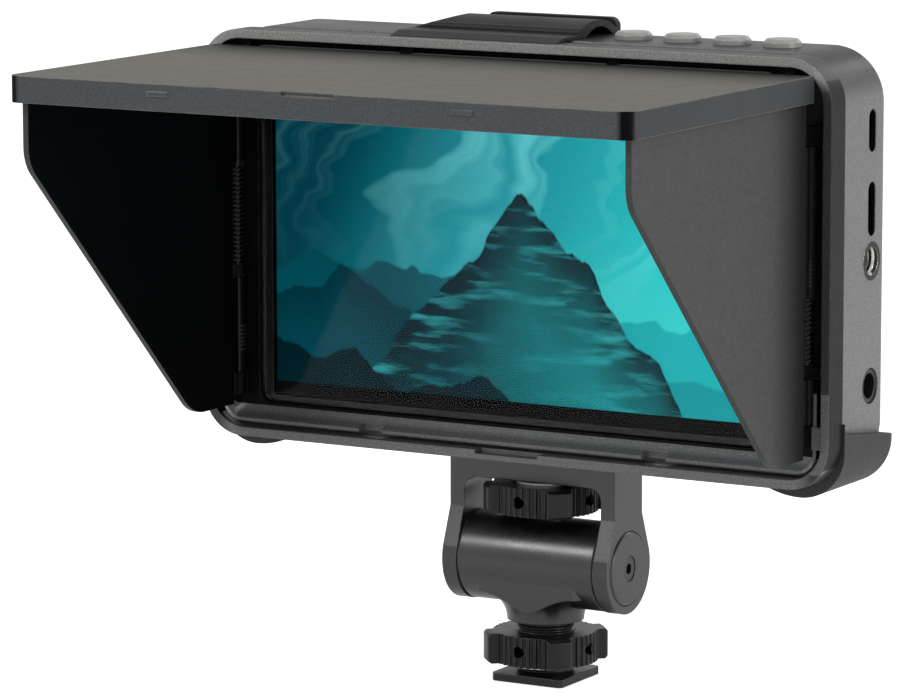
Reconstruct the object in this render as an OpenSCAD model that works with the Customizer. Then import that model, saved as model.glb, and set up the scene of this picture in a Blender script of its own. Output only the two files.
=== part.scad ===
// Camera field monitor with a folding sun hood, on a tilting hot-shoe mount.
// Millimetres. +X is right, +Y is away from the viewer, +Z is up.
// The origin is the centre of the shoe foot's underside, on the column's axis.

/* [Shoe foot and lock wheel] */
// width of the foot plate, across the shoe
foot_width = 18.2; // [17:0.1:18.6]
// length of the foot plate, along the shoe
foot_length = 18.6; // [16:0.1:20]
// thickness of the foot plate
foot_thick = 1.8; // [1.5:0.1:2]
// radius of the stud's thread crests
stud_radius = 6.7; // [5.5:0.1:7.5]
// gap between the foot plate and the lock wheel's washer at rest
shoe_gap = 1.8; // [1.5:0.1:3]
// radius of both wheels over their lobes
wheel_radius = 14.2; // [13:0.1:14.6]
// height of the lock wheel
lock_wheel_height = 7; // [5:0.5:8]
// gap between the lock wheel and the barrel's neck
neck_gap = 2.6; // [2:0.1:4]
// thickness of the washer on each wheel
washer_thick = 0.6; // [0.4:0.1:1]

/* [Tilt barrel and yoke] */
// radius of the tilt barrel
barrel_radius = 10.2; // [9:0.1:11]
// height of the tilt axis above the neck's lower face
barrel_rise = 13.4; // [12.5:0.1:15]
// radius of the neck where it meets the stud
neck_radius = 8.8; // [8:0.1:9.2]
// half of the gap between the yoke's ears
ear_inner = 17.7; // [16.5:0.1:19]
// thickness of the yoke's side walls
ear_thick = 3.6; // [3:0.1:5]
// radius of the round ears
ear_radius = 10.4; // [9.5:0.1:11.5]
// depth of the yoke, front to back
yoke_depth = 13; // [11:0.5:15]
// height of the yoke's window above the tilt axis
window_rise = 18.9; // [18.5:0.1:21]
// thickness of the yoke's top plate
yoke_top_thick = 5.2; // [4:0.1:6]
// radius of the tilt axle
axle_radius = 3; // [2.5:0.1:3.5]
// radius of the cap discs on the ears
cap_radius = 8.4; // [7:0.1:8.8]
// height of the thumb wheel in the window
thumb_wheel_height = 6.5; // [5:0.1:6.8]
// thickness of the rubber pad under the monitor
pad_thick = 1.2; // [0.8:0.1:2]
// radius of the camera screw's thread crests
screw_radius = 3.175; // [3.175:0.001:3.175]

/* [Monitor case] */
// width of the case
case_width = 156; // [152:0.5:157]
// height of the case
case_height = 94.4; // [93.5:0.1:96]
// depth of the rear case
case_depth = 23.3; // [21:0.1:28]
// radius of the case's corners
case_corner = 12; // [9:0.5:15]
// radius of the case's rear edge
case_edge = 3; // [1.5:0.1:4]
// wall thickness of the case
wall = 1.8; // [1.4:0.1:2.4]
// thickness of the front bezel
bezel_thick = 2.5; // [2.2:0.1:4]
// width of the cover glass
glass_width = 135.8; // [130:0.1:137]
// height of the cover glass
glass_height = 78.6; // [74:0.1:80]
// thickness of the cover glass
glass_thick = 1.1; // [0.7:0.1:1.4]
// width of the display module
panel_width = 130.6; // [124:0.1:132]
// height of the display module
panel_height = 75.4; // [70:0.1:76]
// radius of the top buttons
button_radius = 4.2; // [3:0.1:4.5]
// distance between neighbouring buttons
button_pitch = 12.3; // [11:0.1:13]
// distance of the last button from the case's right side
button_inset = 20.1; // [17:0.1:20.1]
// how far the buttons stand proud of the case
button_proud = 1.7; // [1:0.1:2.5]
// travel of the buttons
button_travel = 0.5; // [0.3:0.1:0.6]
// centre of the side ports behind the column's axis
port_back = 6; // [4.5:0.1:7]
// width of the battery plate
battery_width = 39; // [36:0.5:42]
// height of the battery plate
battery_height = 70; // [64:1:74]

/* [Hood frame] */
// width of the hood frame
frame_width = 160; // [159:0.1:162]
// height of the hood frame
frame_height = 94; // [93:0.1:94]
// depth of the hood frame in front of the bezel
frame_depth = 6.6; // [6.6:0.1:9]
// distance of the bezel's face in front of the column's axis
face_front = 11.9; // [11.9:0.1:13]
// outer corner radius of the hood frame
frame_corner = 10; // [8:0.5:12]
// thickness of the frame's rim
rim = 2.1; // [1.6:0.1:2.3]
// thickness of the flange behind the flaps
flange_thick = 0.9; // [0.8:0.1:1.2]
// wall thickness of the corner cups
cup_thick = 2.6; // [2:0.1:3]
// width of the top clip's crest
clip_width = 33.5; // [28:0.5:38]

/* [Flaps] */
// length of the top flap in front of the frame
lid_reach = 83.5; // [78:0.5:90]
// distance of the top flap's sides inside the frame's sides
lid_inset = 4; // [4:0.1:5]
// height of the top flap's lips
lip_height = 5.8; // [5:0.1:7]
// thickness of the top flap and its lips
lid_thick = 1.6; // [1.2:0.1:1.6]
// thickness of the side flaps
flap_thick = 1.4; // [1:0.1:1.4]
// height of the side flaps' front edge
flap_front_height = 16.2; // [14:0.1:24]
// angle of the side flaps' slanted edge from the upright
flap_slant = 45; // [40:0.5:46]
// gap between the side flaps' front edges and the top flap's front lip
flap_setback = 2; // [1:0.1:6]
// radius of the side flaps' hinge barrels
flap_barrel = 1.6; // [1.4:0.05:1.6]
// radius of the top flap's hinge barrel
lid_barrel = 1.4; // [1.2:0.05:1.4]
// radius of the hinge pins
pin_radius = 0.65; // [0.5:0.05:0.65]

/* [Springs] */
// radius of the spring wire
wire_radius = 0.3; // [0.2:0.05:0.3]
// distance between neighbouring turns
spring_pitch = 1.05; // [1.02:0.01:1.2]

/* [Hidden] */
// radial clearance of a running fit
run_gap = 0.06;
// radial clearance of the wheels' bores on their threads
thread_gap = 0.08;
// clearance between two pieces that stay together
seat_gap = 0.03;
// clearance between a moving piece and what it passes
free_gap = 0.3;
// overlap of cuts beyond the surface that they open
cut = 1;
// facets of curves, which are true round at this count
$fn = 64;

// heights of the column, from the foot upwards
lock_washer_z = foot_thick + shoe_gap;
lock_wheel_z = lock_washer_z + washer_thick;
neck_z = lock_wheel_z + lock_wheel_height + neck_gap;
tilt_z = neck_z + barrel_rise;
window_z = tilt_z + window_rise;
yoke_top_z = window_z + yoke_top_thick;
case_bottom_z = yoke_top_z + pad_thick;
mid_z = case_bottom_z + case_height / 2;
case_top_z = case_bottom_z + case_height;
thumb_washer_z = window_z - seat_gap - washer_thick;
thumb_wheel_z = thumb_washer_z - seat_gap - thumb_wheel_height;
ear_outer = ear_inner + ear_thick;
tilt_washer = 0.5;
barrel_half = ear_inner - tilt_washer - 2 * seat_gap;

// depths, from the hood's front to the case's back
face_y = -face_front;
front_y = face_y - frame_depth;
case_y = face_y + bezel_thick;
rear_y = case_y + case_depth;
glass_y = face_y - 0.4;
glass_back = glass_y + glass_thick;
panel_thick = 2.2;
panel_y = glass_back + 0.1;
backlight_y = panel_y + panel_thick + seat_gap;
backlight_thick = 1.4;
board_y = 2.2;
board_thick = 1.6;
button_start = case_width / 2 - button_inset - 3 * button_pitch;

// the hood's openings and hinge axes
rim_half_x = frame_width / 2 - rim;
rim_half_z = frame_height / 2 - rim;
lid_gap = 1.5;
lid_axis_z = mid_z + rim_half_z - lid_gap - lid_barrel;
lid_axis_y = front_y + 0.4 + lid_barrel;
lid_top_z = lid_axis_z + lid_barrel;
lid_front_y = front_y - lid_reach;
lid_half = frame_width / 2 - lid_inset;
flap_x = lid_half - lid_thick - free_gap - flap_thick / 2;
left_axis_y = face_y - flap_barrel - free_gap;
right_axis_y = left_axis_y - flap_thick - free_gap;
flap_top_z = lid_axis_z - lid_barrel - 0.4;
flap_bottom_z = mid_z - rim_half_z + 4.9;
flap_front_y = lid_front_y + lid_thick + flap_setback;
flap_sweep = 3.5;
lug_low_z = flap_bottom_z + 7;
lug_top_z = flap_top_z - 12;

// the thin ledge inside the rim, below and beside the glass
ledge_thick = 0.8;
ledge_x = flap_x + flap_barrel + free_gap;
ledge_y = front_y + 1.7;
ledge_z = mid_z - rim_half_z + 1.1;
ledge_top = lug_low_z + 7.3;
ledge_corner = 5;

// a rounded rectangle about the origin
module round_rect(w, h, r) {
    square([w, h - 2 * r], center = true);
    square([w - 2 * r, h], center = true);
    for (sx = [-1, 1])
        for (sy = [-1, 1])
            translate([sx * (w / 2 - r), sy * (h / 2 - r)])
                circle(r);
}

// a flat shape in X and Z, given depth from y0 to y1
module along_y(y0, y1) {
    translate([0, y1, 0])
        rotate([90, 0, 0])
            linear_extrude(y1 - y0)
                children();
}

// a flat shape in Y and Z, given width from x0 to x1
module along_x(x0, x1) {
    translate([x0, 0, 0])
        rotate([90, 0, 90])
            linear_extrude(x1 - x0)
                children();
}

// a round rod along X, at depth y and height z
module rod_x(x0, x1, y, z, r) {
    translate([x0, y, z])
        rotate([0, 90, 0])
            cylinder(h = x1 - x0, r = r);
}

// a round rod along Y, at x and z
module rod_y(y0, y1, x, z, r) {
    translate([x, y1, z])
        rotate([90, 0, 0])
            cylinder(h = y1 - y0, r = r);
}

// a round rod along Z, at x and y
module rod_z(z0, z1, x, y, r) {
    translate([x, y, z0])
        cylinder(h = z1 - z0, r = r);
}

// a block between two corners
module block(a, b) {
    translate(a)
        cube(b - a);
}

// cross-section of half a slab's rear edge: depth y0 to y1, either side of the middle
module edge_bar(half, y0, y1, e) {
    translate([y0, -half])
        square([y1 - e - y0, 2 * half]);
    translate([y0, e - half])
        square([y1 - y0, 2 * (half - e)]);
    for (s = [-1, 1])
        translate([y1 - e, s * (half - e)])
            circle(e);
}

// a slab about the screen's centre whose rear edge is rounded all round
module soft_slab(w, h, r, y0, y1, e) {
    translate([0, 0, mid_z]) {
        along_x(r - w / 2, w / 2 - r)
            edge_bar(h / 2, y0, y1, e);
        rotate([0, 90, 0])
            along_x(r - h / 2, h / 2 - r)
                edge_bar(w / 2, y0, y1, e);
        for (s = [-1, 1])
            for (t = [-1, 1])
                pad_y(s * (w / 2 - r), t * (h / 2 - r), r, y0, y1, e);
    }
}

// a round pad about the Y axis, whose rear edge is rounded
module pad_y(x, z, r, y0, y1, e) {
    translate([x, 0, z])
        rotate([-90, 0, 0])
            rotate_extrude()
                intersection() {
                    rotate(90)
                        edge_bar(r, y0, y1, e);
                    translate([0, y0 - cut])
                        square([r + cut, y1 - y0 + 2 * cut]);
                }
}

// outline of a threaded rod, with crests of radius r every pitch
function crests(r, depth, z0, pitch, n) = [
    for (i = [0 : n - 1])
        for (k = [0 : 3])
            [
                k < 1 || k > 2 ? r - depth : r,
                z0 + pitch * (i + [0.1, 0.4, 0.6, 0.9][k])
            ]
];

// a threaded rod from z0 to z1
module threaded_rod(r, depth, z0, z1, pitch) {
    n = floor((z1 - z0) / pitch);
    rotate_extrude()
        polygon(concat([[0, z0], [r - depth, z0]], crests(r, depth, z0, pitch, n),
            [[r - depth, z1], [0, z1]]));
}

// a hand wheel with four lobes, four spoke holes and ribbed flanks
wheel_body = wheel_radius - 2.2;
wheel_turn = 42;
lobe_half = 2.9;
lobe_corner = 1;
spoke_hole = 1.4;
rib_pitch = 8;
rib_groove = 0.55;
module hand_wheel(z0, h, bore) {
    c = 0.6;
    rotate([0, 0, wheel_turn])
        difference() {
            intersection() {
                translate([0, 0, z0])
                    linear_extrude(h)
                        wheel_outline();
                rotate_extrude()
                    polygon([[0, z0], [wheel_radius - c, z0], [wheel_radius, z0 + c],
                        [wheel_radius, z0 + h - c], [wheel_radius - c, z0 + h], [0, z0 + h]]);
            }
            rod_z(z0 - cut, z0 + h + cut, 0, 0, bore);
            for (a = [45 : 90 : 315])
                rotate([0, 0, a])
                    rod_x(bore + 1, wheel_radius + cut, 0, z0 + h / 2, spoke_hole);
        }
}

module wheel_outline() {
    difference() {
        circle(wheel_body);
        for (a = [0 : 90 : 270])
            for (k = [-3 : 3])
                rotate(a + 45 + k * rib_pitch)
                    translate([wheel_body, 0])
                        circle(rib_groove, $fn = 24);
    }
    for (a = [0 : 90 : 270])
        rotate(a) {
            translate([0, -lobe_half])
                square([wheel_radius - lobe_corner, 2 * lobe_half]);
            translate([0, lobe_corner - lobe_half])
                square([wheel_radius, 2 * (lobe_half - lobe_corner)]);
            for (s = [-1, 1])
                translate([wheel_radius - lobe_corner, s * (lobe_half - lobe_corner)])
                    circle(lobe_corner);
        }
}

// a flat ring on the column's axis
module washer(z0, outer, inner) {
    difference() {
        rod_z(z0, z0 + washer_thick, 0, 0, outer);
        rod_z(z0 - cut, z0 + washer_thick + cut, 0, 0, inner);
    }
}

// the flat plate that slides into a camera's shoe
module shoe_foot() {
    c = 0.8;
    color("#222222")
        difference() {
            linear_extrude(foot_thick)
                polygon([
                    [c - foot_width / 2, -foot_length / 2], [foot_width / 2 - c, -foot_length / 2],
                    [foot_width / 2, c - foot_length / 2], [foot_width / 2, foot_length / 2 - c],
                    [foot_width / 2 - c, foot_length / 2], [c - foot_width / 2, foot_length / 2],
                    [-foot_width / 2, foot_length / 2 - c], [-foot_width / 2, c - foot_length / 2]
                ]);
            rod_z(-cut, 1, 0, 0, 3.6);
        }
}

// the screw head sunk in the foot that holds the stud
module foot_screw() {
    color("#777777")
        difference() {
            rod_z(0.1, 1 - seat_gap, 0, 0, 3.4);
            translate([0, 0, -cut])
                cylinder(h = cut + 0.7, r = 1.3, $fn = 6);
        }
}

module threaded_stud() {
    color("#1c1c1c")
        threaded_rod(stud_radius, 0.5, foot_thick, neck_z, 1.25);
}

module lock_washer() {
    color("#8a8a8a")
        washer(lock_washer_z, wheel_body - 2.5, stud_radius + thread_gap);
}

module lock_wheel() {
    color("#1e1e1e")
        hand_wheel(lock_wheel_z + seat_gap, lock_wheel_height - seat_gap, stud_radius + thread_gap);
}

// the barrel that the yoke tilts on, on a neck that flares out in a hollow curve
saddle_flare = barrel_half - 1.7 - neck_radius;
saddle_half = neck_radius + 0.6;
module tilt_barrel() {
    top_r = neck_radius + saddle_flare;
    color("#232323")
        difference() {
            union() {
                rod_x(-barrel_half, barrel_half, 0, tilt_z, barrel_radius);
                intersection() {
                    rotate_extrude()
                        difference() {
                            translate([0, neck_z])
                                square([top_r, tilt_z - neck_z]);
                            translate([top_r, neck_z])
                                circle(saddle_flare);
                        }
                    block([-top_r - cut, -saddle_half, neck_z - cut], [top_r + cut, saddle_half, tilt_z]);
                }
            }
            rod_x(-ear_outer, ear_outer, 0, tilt_z, axle_radius + run_gap);
        }
}

// the fork that carries the monitor
module yoke() {
    r = 3;
    bolt = 3.6;
    flare_z = tilt_z + 12;
    color("#2a2a2a")
        difference() {
            union() {
                along_y(-yoke_depth / 2, yoke_depth / 2)
                    difference() {
                        translate([-ear_outer, tilt_z])
                            square([2 * ear_outer, yoke_top_z - tilt_z]);
                        translate([-ear_inner, tilt_z - cut])
                            square([2 * ear_inner, window_rise - r + cut]);
                        translate([r - ear_inner, tilt_z])
                            square([2 * (ear_inner - r), window_rise]);
                        for (s = [-1, 1])
                            translate([s * (ear_inner - r), window_z - r])
                                circle(r);
                    }
                for (s = [0, 1])
                    mirror([s, 0, 0]) {
                        rod_x(ear_inner, ear_outer, 0, tilt_z, ear_radius);
                        along_x(ear_inner, ear_outer)
                            polygon([[-yoke_depth / 2, flare_z], [-ear_radius * 0.96, tilt_z + 3],
                                [ear_radius * 0.96, tilt_z + 3], [yoke_depth / 2, flare_z]]);
                    }
            }
            rod_z(window_z - cut, yoke_top_z + cut, 0, 0, screw_radius + 0.4);
            rod_x(-ear_outer - cut, ear_outer + cut, 0, tilt_z, axle_radius + seat_gap);
            for (s = [0, 1])
                mirror([s, 0, 0])
                    rod_x(ear_outer - cap_depth, ear_outer + cut, 0, tilt_z, cap_radius + 0.15);
        }
}

// the axle through both ears and the barrel
module tilt_axle() {
    end = ear_outer - cap_depth;
    color("#9a9a9a")
        difference() {
            rod_x(-end, end, 0, tilt_z, axle_radius);
            for (s = [0, 1])
                mirror([s, 0, 0])
                    rod_x(end - 6, end + cut, 0, tilt_z, 1.5);
        }
}

// thin washers between the ears and the barrel
module tilt_washers() {
    color("#d8d8d0")
        for (s = [0, 1])
            mirror([s, 0, 0])
                difference() {
                    rod_x(barrel_half + seat_gap, ear_inner - seat_gap, 0, tilt_z, barrel_radius - 0.6);
                    rod_x(0, ear_inner + cut, 0, tilt_z, axle_radius + seat_gap);
                }
}

// the disc let into each ear
cap_depth = 1.6;
module ear_caps() {
    color("#262626")
        for (s = [0, 1])
            mirror([s, 0, 0])
                difference() {
                    union() {
                        rod_x(ear_outer - cap_depth + seat_gap, ear_outer, 0, tilt_z, cap_radius);
                        translate([ear_outer, 0, tilt_z])
                            rotate([0, 90, 0])
                                cylinder(h = 0.3, r1 = cap_radius, r2 = cap_radius - 0.3);
                    }
                    rod_x(ear_outer - 2 * cut, ear_outer + cut, 0, tilt_z, 3);
                }
}

// a socket-head screw in each end of the axle
module axle_screws() {
    end = ear_outer - cap_depth;
    color("#3a3a3a")
        for (s = [0, 1])
            mirror([s, 0, 0])
                difference() {
                    union() {
                        rod_x(end + seat_gap, ear_outer + 0.1, 0, tilt_z, 2.9);
                        rod_x(end - 5, end + 0.5, 0, tilt_z, 1.5 - seat_gap);
                    }
                    translate([ear_outer - 1.1, 0, tilt_z])
                        rotate([0, 90, 0])
                            cylinder(h = 2, r = 1.35, $fn = 6);
                }
}

// the rubber pad that the monitor stands on
module rubber_pad() {
    color("#151515")
        difference() {
            rod_z(yoke_top_z, case_bottom_z - seat_gap, 0, 0, 9);
            rod_z(yoke_top_z - cut, case_bottom_z + cut, 0, 0, screw_radius + 0.4);
        }
}

thumb_washer_radius = 7.5;
module thumb_washer() {
    color("#8a8a8a")
        washer(thumb_washer_z, thumb_washer_radius, screw_radius + run_gap);
}

module thumb_wheel() {
    color("#1e1e1e")
        hand_wheel(thumb_wheel_z, thumb_wheel_height, screw_radius + seat_gap);
}

// the quarter-inch camera screw that the thumb wheel turns
module camera_screw() {
    color("#a8a8a8")
        difference() {
            union() {
                rod_z(thumb_wheel_z + 0.2, yoke_top_z, 0, 0, screw_radius - 0.02);
                threaded_rod(screw_radius - 0.02, 0.45, yoke_top_z, case_bottom_z + 5, 1.27);
            }
            translate([-0.5, -screw_radius - cut, thumb_wheel_z])
                cube([1, 2 * screw_radius + 2 * cut, 1]);
        }
}

// the moulded rear case, with its holes, posts and battery recess
port_x = case_width / 2;
usb_z = mid_z + 29.4;
hdmi_z = mid_z + 12.2;
side_hole_z = mid_z + 0.7;
jack_z = mid_z - 27;
battery_z = mid_z + 1;
insert_radius = 4.3;
jack_radius = 3.9;
corner_x = case_width / 2 - 9;
corner_z = case_height / 2 - 9;
module rear_case() {
    in_w = case_width - 2 * wall;
    in_h = case_height - 2 * wall;
    color("#6f6f6d")
        difference() {
            soft_slab(case_width, case_height, case_corner, case_y, rear_y, case_edge);
            difference() {
                soft_slab(in_w, in_h, case_corner - wall, case_y - cut, rear_y - wall, case_edge - 1);
                for (sx = [-1, 1])
                    for (sz = [-1, 1])
                        rod_y(case_y, rear_y, sx * corner_x, mid_z + sz * corner_z, 3.4);
                rod_z(case_bottom_z, case_bottom_z + 8, 0, 0, insert_radius + 1.8);
                rod_x(port_x - 9, port_x, port_back, side_hole_z, insert_radius + 1.4);
            }
            for (sx = [-1, 1])
                for (sz = [-1, 1]) {
                    rod_y(rear_y - 2.2, rear_y + cut, sx * corner_x, mid_z + sz * corner_z, 2.6);
                    rod_y(case_y - cut, rear_y, sx * corner_x, mid_z + sz * corner_z, 1.1);
                }
            for (i = [0 : 3])
                rod_z(case_top_z - 3, case_top_z + cut, button_start + i * button_pitch, 2,
                    button_radius + 0.1);
            rod_z(case_bottom_z - cut, case_bottom_z + 7, 0, 0, insert_radius + seat_gap);
            rod_x(port_x - 7.5, port_x + cut, port_back, side_hole_z, insert_radius + seat_gap);
            rod_x(port_x - 3, port_x + cut, port_back, jack_z, jack_radius + 0.1);
            port_hole(usb_z, usb_long, usb_high);
            port_hole(hdmi_z, hdmi_long, hdmi_high);
            for (i = [-3 : 3])
                translate([0, 0, mid_z])
                    along_y(rear_y - wall - cut, rear_y + cut)
                        for (s = [-1, 1])
                            translate([s * (port_x - vent_inset) + i * vent_pitch, 0])
                                round_rect(vent_wide, vent_long, vent_wide / 2 - 0.1);
        }
}

// the vents in the case's back
vent_inset = 32;
vent_pitch = 4;
vent_wide = 1.6;
vent_long = 26;

// openings of the two data sockets
usb_long = 9.4;
usb_high = 3.7;
hdmi_long = 12;
hdmi_high = 3.8;

// a flat shape with round ends, in depth and height
module stadium(long, high) {
    square([high, long - high], center = true);
    for (s = [-1, 1])
        translate([0, s * (long - high) / 2])
            circle(high / 2);
}

// a hole with round ends in the case's right wall
module port_hole(z, long, high) {
    translate([0, port_back, z])
        along_x(port_x - wall - cut, port_x + cut)
            stadium(long, high);
}

// the frame that holds the glass and closes the case
bezel_width = case_width - 1.6;
bezel_height = case_height - 1.6;
module front_bezel() {
    color("#1a1a1a")
        translate([0, 0, mid_z])
            difference() {
                along_y(face_y, case_y)
                    round_rect(bezel_width, bezel_height, case_corner - 0.8);
                along_y(face_y - cut, glass_back + seat_gap)
                    round_rect(glass_width + 0.2, glass_height + 0.2, 3);
                along_y(face_y, case_y + cut)
                    round_rect(panel_width + 0.6, panel_height + 0.6, 0.8);
                for (sx = [-1, 1])
                    for (sz = [-1, 1])
                        rod_y(case_y - 2, case_y + cut, sx * corner_x, sz * corner_z, 1.1);
            }
}

module cover_glass() {
    color("#101418", 0.5)
        translate([0, 0, mid_z])
            along_y(glass_y, glass_back)
                round_rect(glass_width, glass_height, 2.9);
}

module lcd_panel() {
    color("#1c6f7a")
        translate([-panel_width / 2, panel_y, mid_z - panel_height / 2])
            cube([panel_width, panel_thick, panel_height]);
}

// the pressed tray behind the display
module backlight_tray() {
    w = panel_width - 2;
    h = panel_height - 2;
    color("#b9bcbe")
        difference() {
            translate([-w / 2, backlight_y, mid_z - h / 2])
                cube([w, backlight_thick + 2, h]);
            translate([1 - w / 2, backlight_y + backlight_thick, mid_z + 1 - h / 2])
                cube([w - 2, 3, h - 2]);
        }
}

// the flat cable from the display down to the main board
cable_long = 6;
module display_cable() {
    y0 = backlight_y + backlight_thick;
    z0 = mid_z - panel_height * 0.345;
    half = panel_width * 0.107;
    film = 0.4;
    color("#c07a2a")
        along_x(-half, half)
            polygon([[y0 + seat_gap, z0 + cable_long], [y0 + seat_gap, z0], [board_y, z0 - film],
                [board_y, z0], [y0 + film, z0 + film], [y0 + film, z0 + cable_long]]);
}

// the main board, which ends short of the side walls and of the button board
board_half = port_x - wall - 11.2;
board_low_z = case_bottom_z + 11.2;
board_high_z = case_top_z - 13.2;
module main_board() {
    color("#1d5a36")
        difference() {
            block([-board_half, board_y, board_low_z], [board_half, board_y + board_thick, board_high_z]);
            rod_y(board_y - cut, board_y + board_thick + cut, 0, mid_z, 1.6);
        }
}

// the parts soldered to the main board
can_high = 5;
can_pitch = 8;
can_radius = 2.6;
module board_parts() {
    top = board_y + board_thick;
    color("#2b2b2e") {
        chip(-3, mid_z + 3, 18, 18, 1.4);
        chip(-34.5, mid_z + 2.5, 11, 13, 1.2);
        chip(21, mid_z - 18, 14, 8, 1.2);
        chip(24, mid_z + 12, 12, 12, 3);
        for (i = [0 : 3])
            rod_y(top, top + can_high, 15 - board_half + i * can_pitch, board_low_z + 10, can_radius);
    }
}

// a flat chip on the main board, about x and z
module chip(x, z, wide, high, thick) {
    top = board_y + board_thick;
    block([x - wide / 2, top, z - high / 2], [x + wide / 2, top + thick, z + high / 2]);
}

// a connector on the board, whose round-ended mouth lies in the case's right wall
port_deep = 13;
port_inset = 0.8;
port_skin = 0.35;
module port_shell(z, long, high) {
    top = board_y + board_thick;
    inner = port_x - wall;
    l = long - 0.5;
    h = high - 0.5;
    difference() {
        union() {
            block([inner - port_deep, top, z - l / 2], [inner - seat_gap, port_back + h / 2, z + l / 2]);
            translate([0, port_back, z])
                along_x(inner - cut, port_x - port_inset)
                    stadium(l, h);
        }
        translate([0, port_back, z])
            along_x(inner - port_deep + cut, port_x + cut)
                stadium(l - 2 * port_skin, h - 2 * port_skin);
    }
    block([inner - port_deep, port_back - port_skin, z - l / 2 + 1.8],
        [port_x - 2, port_back + port_skin, z + l / 2 - 1.8]);
}

module usb_port() {
    color("#b0b2b4")
        port_shell(usb_z, usb_long, usb_high);
}

module hdmi_port() {
    color("#b0b2b4")
        port_shell(hdmi_z, hdmi_long, hdmi_high);
}

// the brass thread in the right side, for an accessory arm
module side_insert() {
    color("#b08d4a")
        difference() {
            rod_x(port_x - 7.5, port_x + 0.1, port_back, side_hole_z, insert_radius);
            rod_x(port_x - 7, port_x + cut, port_back, side_hole_z, screw_radius);
        }
}

// the round power socket with its centre pin
module dc_jack() {
    color("#1b1b1b") {
        difference() {
            union() {
                rod_x(port_x - 12, port_x - 0.3, port_back, jack_z, jack_radius);
                block([port_x - 13, board_y + board_thick, jack_z - 4.5],
                    [port_x - 3.2, port_back, jack_z + 4.5]);
            }
            rod_x(port_x - 10.5, port_x + cut, port_back, jack_z, 2.85);
        }
        rod_x(port_x - 11, port_x - 1.8, port_back, jack_z, 1);
    }
}

// the brass thread under the case that takes the camera screw
module bottom_insert() {
    color("#b08d4a")
        difference() {
            rod_z(case_bottom_z + seat_gap, case_bottom_z + 7, 0, 0, insert_radius);
            rod_z(case_bottom_z - cut, case_bottom_z + 6.4, 0, 0, screw_radius + 0.05);
        }
}

// one domed button with a flange that keeps it in the case
button_low = case_top_z - wall - 1;
module top_button(i) {
    d = 0.7;
    color("#8c8c8a")
        translate([button_start + i * button_pitch, 2, 0]) {
            translate([0, 0, button_low])
                cylinder(h = case_top_z + button_proud - d - button_low, r = button_radius);
            translate([0, 0, case_top_z + button_proud - d])
                cylinder(h = d, r1 = button_radius, r2 = button_radius - d);
            translate([0, 0, button_low])
                cylinder(h = 0.8, r = button_radius + 0.7);
        }
}

// the narrow board under the buttons
switch_z = button_low - button_travel - 0.1;
button_board_z = switch_z - 4.3;
module button_board() {
    color("#1d5a36")
        block([button_start - 7, -3, button_board_z], [button_start + 3 * button_pitch + 7, 7, button_board_z + 1]);
}

module button_switches() {
    color("#33363a")
        for (i = [0 : 3])
            translate([button_start + i * button_pitch, 2, button_board_z + 1]) {
                translate([-3, -3, 0])
                    cube([6, 6, 2.6]);
                cylinder(h = 3.3, r = 1.7);
            }
}

// the plate on the back that takes a slide-on battery
plate_thick = 4;
module battery_plate() {
    hw = battery_width / 2;
    hh = battery_height / 2;
    color("#242424")
        difference() {
            translate([0, 0, battery_z])
                along_y(rear_y, rear_y + plate_thick)
                    round_rect(battery_width, battery_height, 2.5);
            block([-hw + 3.4, rear_y + 1.4, battery_z - hh + 12], [hw - 3.4, rear_y + 5, battery_z + hh + cut]);
            for (s = [-1, 1])
                for (k = [0 : 1])
                    translate([s * (hw - 2.5), rear_y + 1.4, battery_z - 4 + k * 24])
                        cube([3.4, 1.4, 12], center = true);
            block([-7, rear_y + 1.2, battery_z - hh + 2.6], [7, rear_y + 5, battery_z - hh + 9.4]);
        }
}

// the sprung contacts of the battery plate
module battery_contacts() {
    color("#c9a552")
        for (i = [-1 : 1])
            block([i * 7 - 1, rear_y + 1.4, battery_z - battery_height / 2 + 12.5],
                [i * 7 + 1, rear_y + 3.2, battery_z - battery_height / 2 + 20]);
}

// the button that lets the battery go
module battery_latch() {
    z0 = battery_z - battery_height / 2 + 2.6;
    color("#3b3b3b")
        union() {
            block([-6.7, rear_y + 2, z0 + 0.3], [6.7, rear_y + plate_thick + 1, z0 + 6.5]);
            for (k = [0 : 2])
                rod_x(-5, 5, rear_y + plate_thick + 1, z0 + 1.7 + k * 1.7, 0.35);
        }
}

// four screws that hold the case to the bezel
module case_screws() {
    color("#4a4a4a")
        for (sx = [-1, 1])
            for (sz = [-1, 1])
                translate([sx * corner_x, rear_y - 0.5, mid_z + sz * corner_z])
                    rotate([90, 0, 0])
                        difference() {
                            union() {
                                cylinder(h = 1.6, r = 2.4);
                                cylinder(h = 20, r = 1);
                            }
                            translate([0, 0, -0.1])
                                cylinder(h = 0.9, r = 0.9, $fn = 6);
                        }
}

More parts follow.
